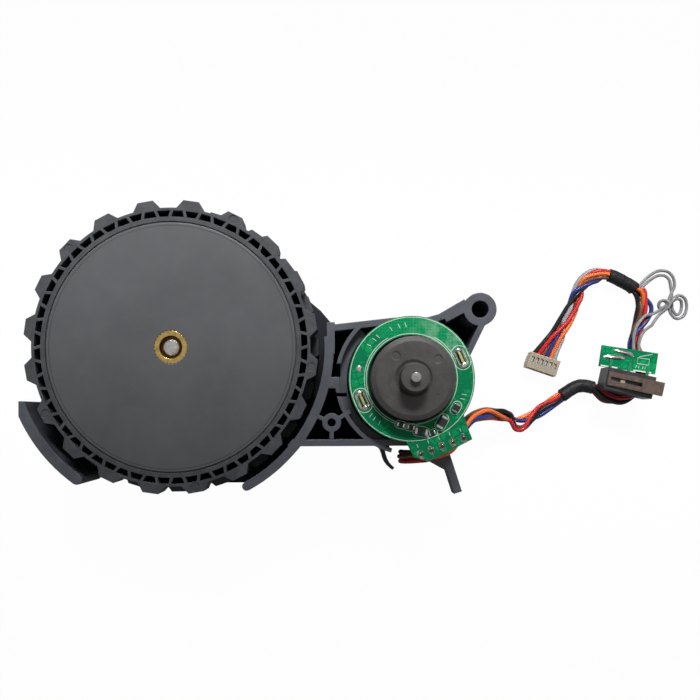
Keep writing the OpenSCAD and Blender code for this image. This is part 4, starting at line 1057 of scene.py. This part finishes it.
class MODULE_OT_switch(bpy.types.Operator):
    """Finish the drop switch: body, lever, plunger, its board, print and solder"""

    bl_idname = "wheel_module.switch"
    bl_label = "Drop switch"

    def execute(self, context):
        sizes, colours, _ = settings()
        wear_material("switch_body", plastic("switch_moulding", (0.018, 0.018, 0.021), rough=0.42,
                                             edge=0.0002))
        wear_material("switch_lever", metal("lever_steel", colours.lever, rough=0.40, edge=0.00008))
        wear_material("switch_plunger", plastic("plunger_moulding", colours.cream, rough=0.4,
                                                edge=0.0001, edge_wear_and_highlight=0))
        tin = metal("strip_tin", np.array(colours.tin) * 0.62, rough=0.38, spread=0.3)
        wear_material("switch_pins", plastic("pin_resist", colours.board, rough=0.5, edge=0, edge_wear_and_highlight=0,
                                             dust=0))
        centre = strip_place(0, 6.4, 0) * MM
        wear_material("switch_board", board_material("strip_resist", colours, tuple(centre[:2]),
                                                     0.0135, 0.02, 0.0))
        self.print_marks(sizes, ink_material("strip_ink", colours))
        self.solder(tin)
        return {"FINISHED"}

    def print_marks(self, sizes, ink):
        """The plain figure of a box with its flap, two wide bars and a few strokes."""
        w, low, high = sizes.ink_width / MM, STRIP_TOP, STRIP_TOP + INK
        figure = [[2.3, 5.7], [5.4, 5.7], [5.4, 7.3], [2.3, 7.3]]
        diagonal = [[2.6, 7.6], [6.0, 8.7]]
        strips = [([[-7.2, 3.8], [-2.7, 3.8]], 0.36), ([[1.6, 3.8], [6.4, 3.8]], 0.36)]
        strokes = [[[x, 4.5], [x + 0.1, 5.2]] for x in (2.1, 2.8, 3.9, 4.5, 5.7)]
        parts = [(ribbon(self.along(figure), w, low, high, True), 0),
                 (ribbon(self.along(diagonal), w, low, high), 0)]
        parts += [(ribbon(self.along(p), wide, low, high), 0) for p, wide in strips]
        parts += [(ribbon(self.along(p), w, low, high), 0) for p in strokes]
        piece("strip_print", parts, "root", ink, smooth=False)

    def solder(self, tin):
        """Two long smears of solder, higher in the middle."""
        t = np.linspace(0, 1, 10)
        profile = np.stack([np.concatenate([[0.95], 1 - 0.7 * t]),
                            np.concatenate([[-0.02], 0.5 * t ** 1.3])], 1)
        blobs = []
        for x, y, long, tilt in ((-1.5, 8.0, 2.9, -8), (-4.0, 6.4, 3.1, 3)):
            at = strip_place(x, y, STRIP_TOP)
            blobs.append((placed(turned(profile, 44, (long, 0.72), wavy(x)), STRIP_TURN + tilt, at), 0))
        piece("strip_solder", blobs, "root", tin)

    def along(self, points):
        """Points of the board's own axes as frame points in XY."""
        return np.array([strip_place(x, y, 0)[:2] for x, y in points])


class MODULE_OT_connector(bpy.types.Operator):
    """Finish the connector housing and its contacts"""

    bl_idname = "wheel_module.connector"
    bl_label = "Connector"

    def execute(self, context):
        _, colours, _ = settings()
        housing = plastic("housing_nylon", colours.cream, rough=0.42, edge=0.00015, edge_wear_and_highlight=0, dust=0.05,
                          more={"Subsurface Weight": 0.15})
        wear_material("connector_housing", housing)
        wear_material("connector_contacts", metal("contact_tin", colours.tin, rough=0.3))
        return {"FINISHED"}


# Stage


# Each lamp's place, and its length and width, in metres, and the point that both look at
KEY_LAMP = ((-0.02, 0.20, 0.24), (0.34, 0.06))
FILL_LAMP = ((0.22, 0.06, 0.30), (0.20, 0.20))
LAMP_AIM = (-0.03, 0.018, 0.03)
# Half the floor's side, and how far it lies under the module
FLOOR_REACH = 1.5
FLOOR_GAP = 0.0002


class MODULE_OT_stage(bpy.types.Operator):
    """Lay the white floor and set the sky and the two lamps"""

    bl_idname = "wheel_module.stage"
    bl_label = "Stage"

    def execute(self, context):
        _, _, light = settings()
        mesh = bpy.data.meshes.new("floor")
        reach, low = FLOOR_REACH, CAD_BOX[0].z - FLOOR_GAP
        corners = [(-reach, -reach, low), (reach, -reach, low), (reach, reach, low), (-reach, reach, low)]
        mesh.from_pydata(corners, [], [(0, 1, 2, 3)])
        floor = bpy.data.objects.new("floor", mesh)
        context.scene.collection.objects.link(floor)
        made, tree, shader = new_material("floor_paper")
        set_shader(shader, {"Base Color": (0.86, 0.86, 0.87, 1), "Roughness": 0.9, "Specular IOR Level": 0.0})
        self.whiten(tree, shader, tree.nodes["Material Output"], light.floor_glow)
        mesh.materials.append(made)
        world = bpy.data.worlds.new("sky")
        context.scene.world = world
        world.use_nodes = True
        tree = world.node_tree
        sky = tree.nodes["Background"]
        sky.inputs["Color"].default_value = (1, 1, 1, 1)
        sky.inputs["Strength"].default_value = light.sky
        white = node(tree, "Background", {"Color": (1, 1, 1, 1), "Strength": 1.0})
        mirrored = node(tree, "Background", {"Color": (1, 1, 1, 1), "Strength": light.mirror})
        ray = node(tree, "LightPath").outputs
        shiny = node(tree, "MixShader", {0: ray["Is Glossy Ray"], 1: sky.outputs[0], 2: mirrored.outputs[0]})
        both = node(tree, "MixShader", {0: ray["Is Camera Ray"], 1: shiny.outputs[0], 2: white.outputs[0]})
        tree.links.new(both.outputs[0], tree.nodes["World Output"].inputs["Surface"])
        self.lamp(context, "key_lamp", *KEY_LAMP, light.key, light.spread)
        self.lamp(context, "fill_lamp", *FILL_LAMP, light.fill, math.pi)
        context.scene.view_settings.view_transform = "Standard"
        return {"FINISHED"}

    def whiten(self, tree, shader, output, share):
        """Mixes plain white into what the camera sees, so the shadow stays faint."""
        glow = node(tree, "Emission", {"Color": (1, 1, 1, 1), "Strength": 1.0})
        seen = node(tree, "LightPath").outputs["Is Camera Ray"]
        both = node(tree, "MixShader", {0: math_node(tree, "MULTIPLY", seen, share),
                                        1: shader.outputs[0], 2: glow.outputs[0]})
        tree.links.new(both.outputs[0], output.inputs["Surface"])

    def lamp(self, context, name, place, sides, power, spread):
        """An oblong lamp that looks at the upper middle of the module."""
        data = bpy.data.lights.new(name, "AREA")
        data.shape, data.energy, data.spread = "RECTANGLE", power, spread
        data.size, data.size_y = sides
        lamp = bpy.data.objects.new(name, data)
        lamp.location = place
        aim = Vector(LAMP_AIM) - Vector(place)
        lamp.rotation_euler = aim.to_track_quat("-Z", "Y").to_euler()
        context.scene.collection.objects.link(lamp)


class MODULE_PT_panel(bpy.types.Panel):
    """The module's operators and settings in the 3D view's sidebar"""

    bl_label = "Wheel Module"
    bl_idname = "MODULE_PT_panel"
    bl_space_type = "VIEW_3D"
    bl_region_type = "UI"
    bl_category = "Wheel Module"

    def draw(self, context):
        column = self.layout.column()
        for operator in OPERATORS:
            column.operator(operator.bl_idname)
        for held in settings():
            box = self.layout.box()
            for name in type(held).__annotations__:
                box.prop(held, name)


GROUPS = {"module_sizes": ModuleSizes, "module_colours": ModuleColours, "module_light": ModuleLight}
OPERATORS = [MODULE_OT_camera, MODULE_OT_harness, MODULE_OT_leads, MODULE_OT_sleeves, MODULE_OT_arm,
             MODULE_OT_wheel, MODULE_OT_gears, MODULE_OT_motor, MODULE_OT_board, MODULE_OT_switch,
             MODULE_OT_connector, MODULE_OT_stage]


def register():
    """Registers the settings, the operators and the panel."""
    for cls in [*GROUPS.values(), *OPERATORS, MODULE_PT_panel]:
        bpy.utils.register_class(cls)
    for name, cls in GROUPS.items():
        setattr(bpy.types.Scene, name, PointerProperty(type=cls))


def unregister():
    """Takes them away again."""
    for name in GROUPS:
        delattr(bpy.types.Scene, name)
    for cls in reversed([*GROUPS.values(), *OPERATORS, MODULE_PT_panel]):
        bpy.utils.unregister_class(cls)


def main():
    """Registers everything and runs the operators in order."""
    register()
    for operator in OPERATORS:
        family, name = operator.bl_idname.split(".")
        getattr(getattr(bpy.ops, family), name)()


if __name__ == "__main__":
    main()
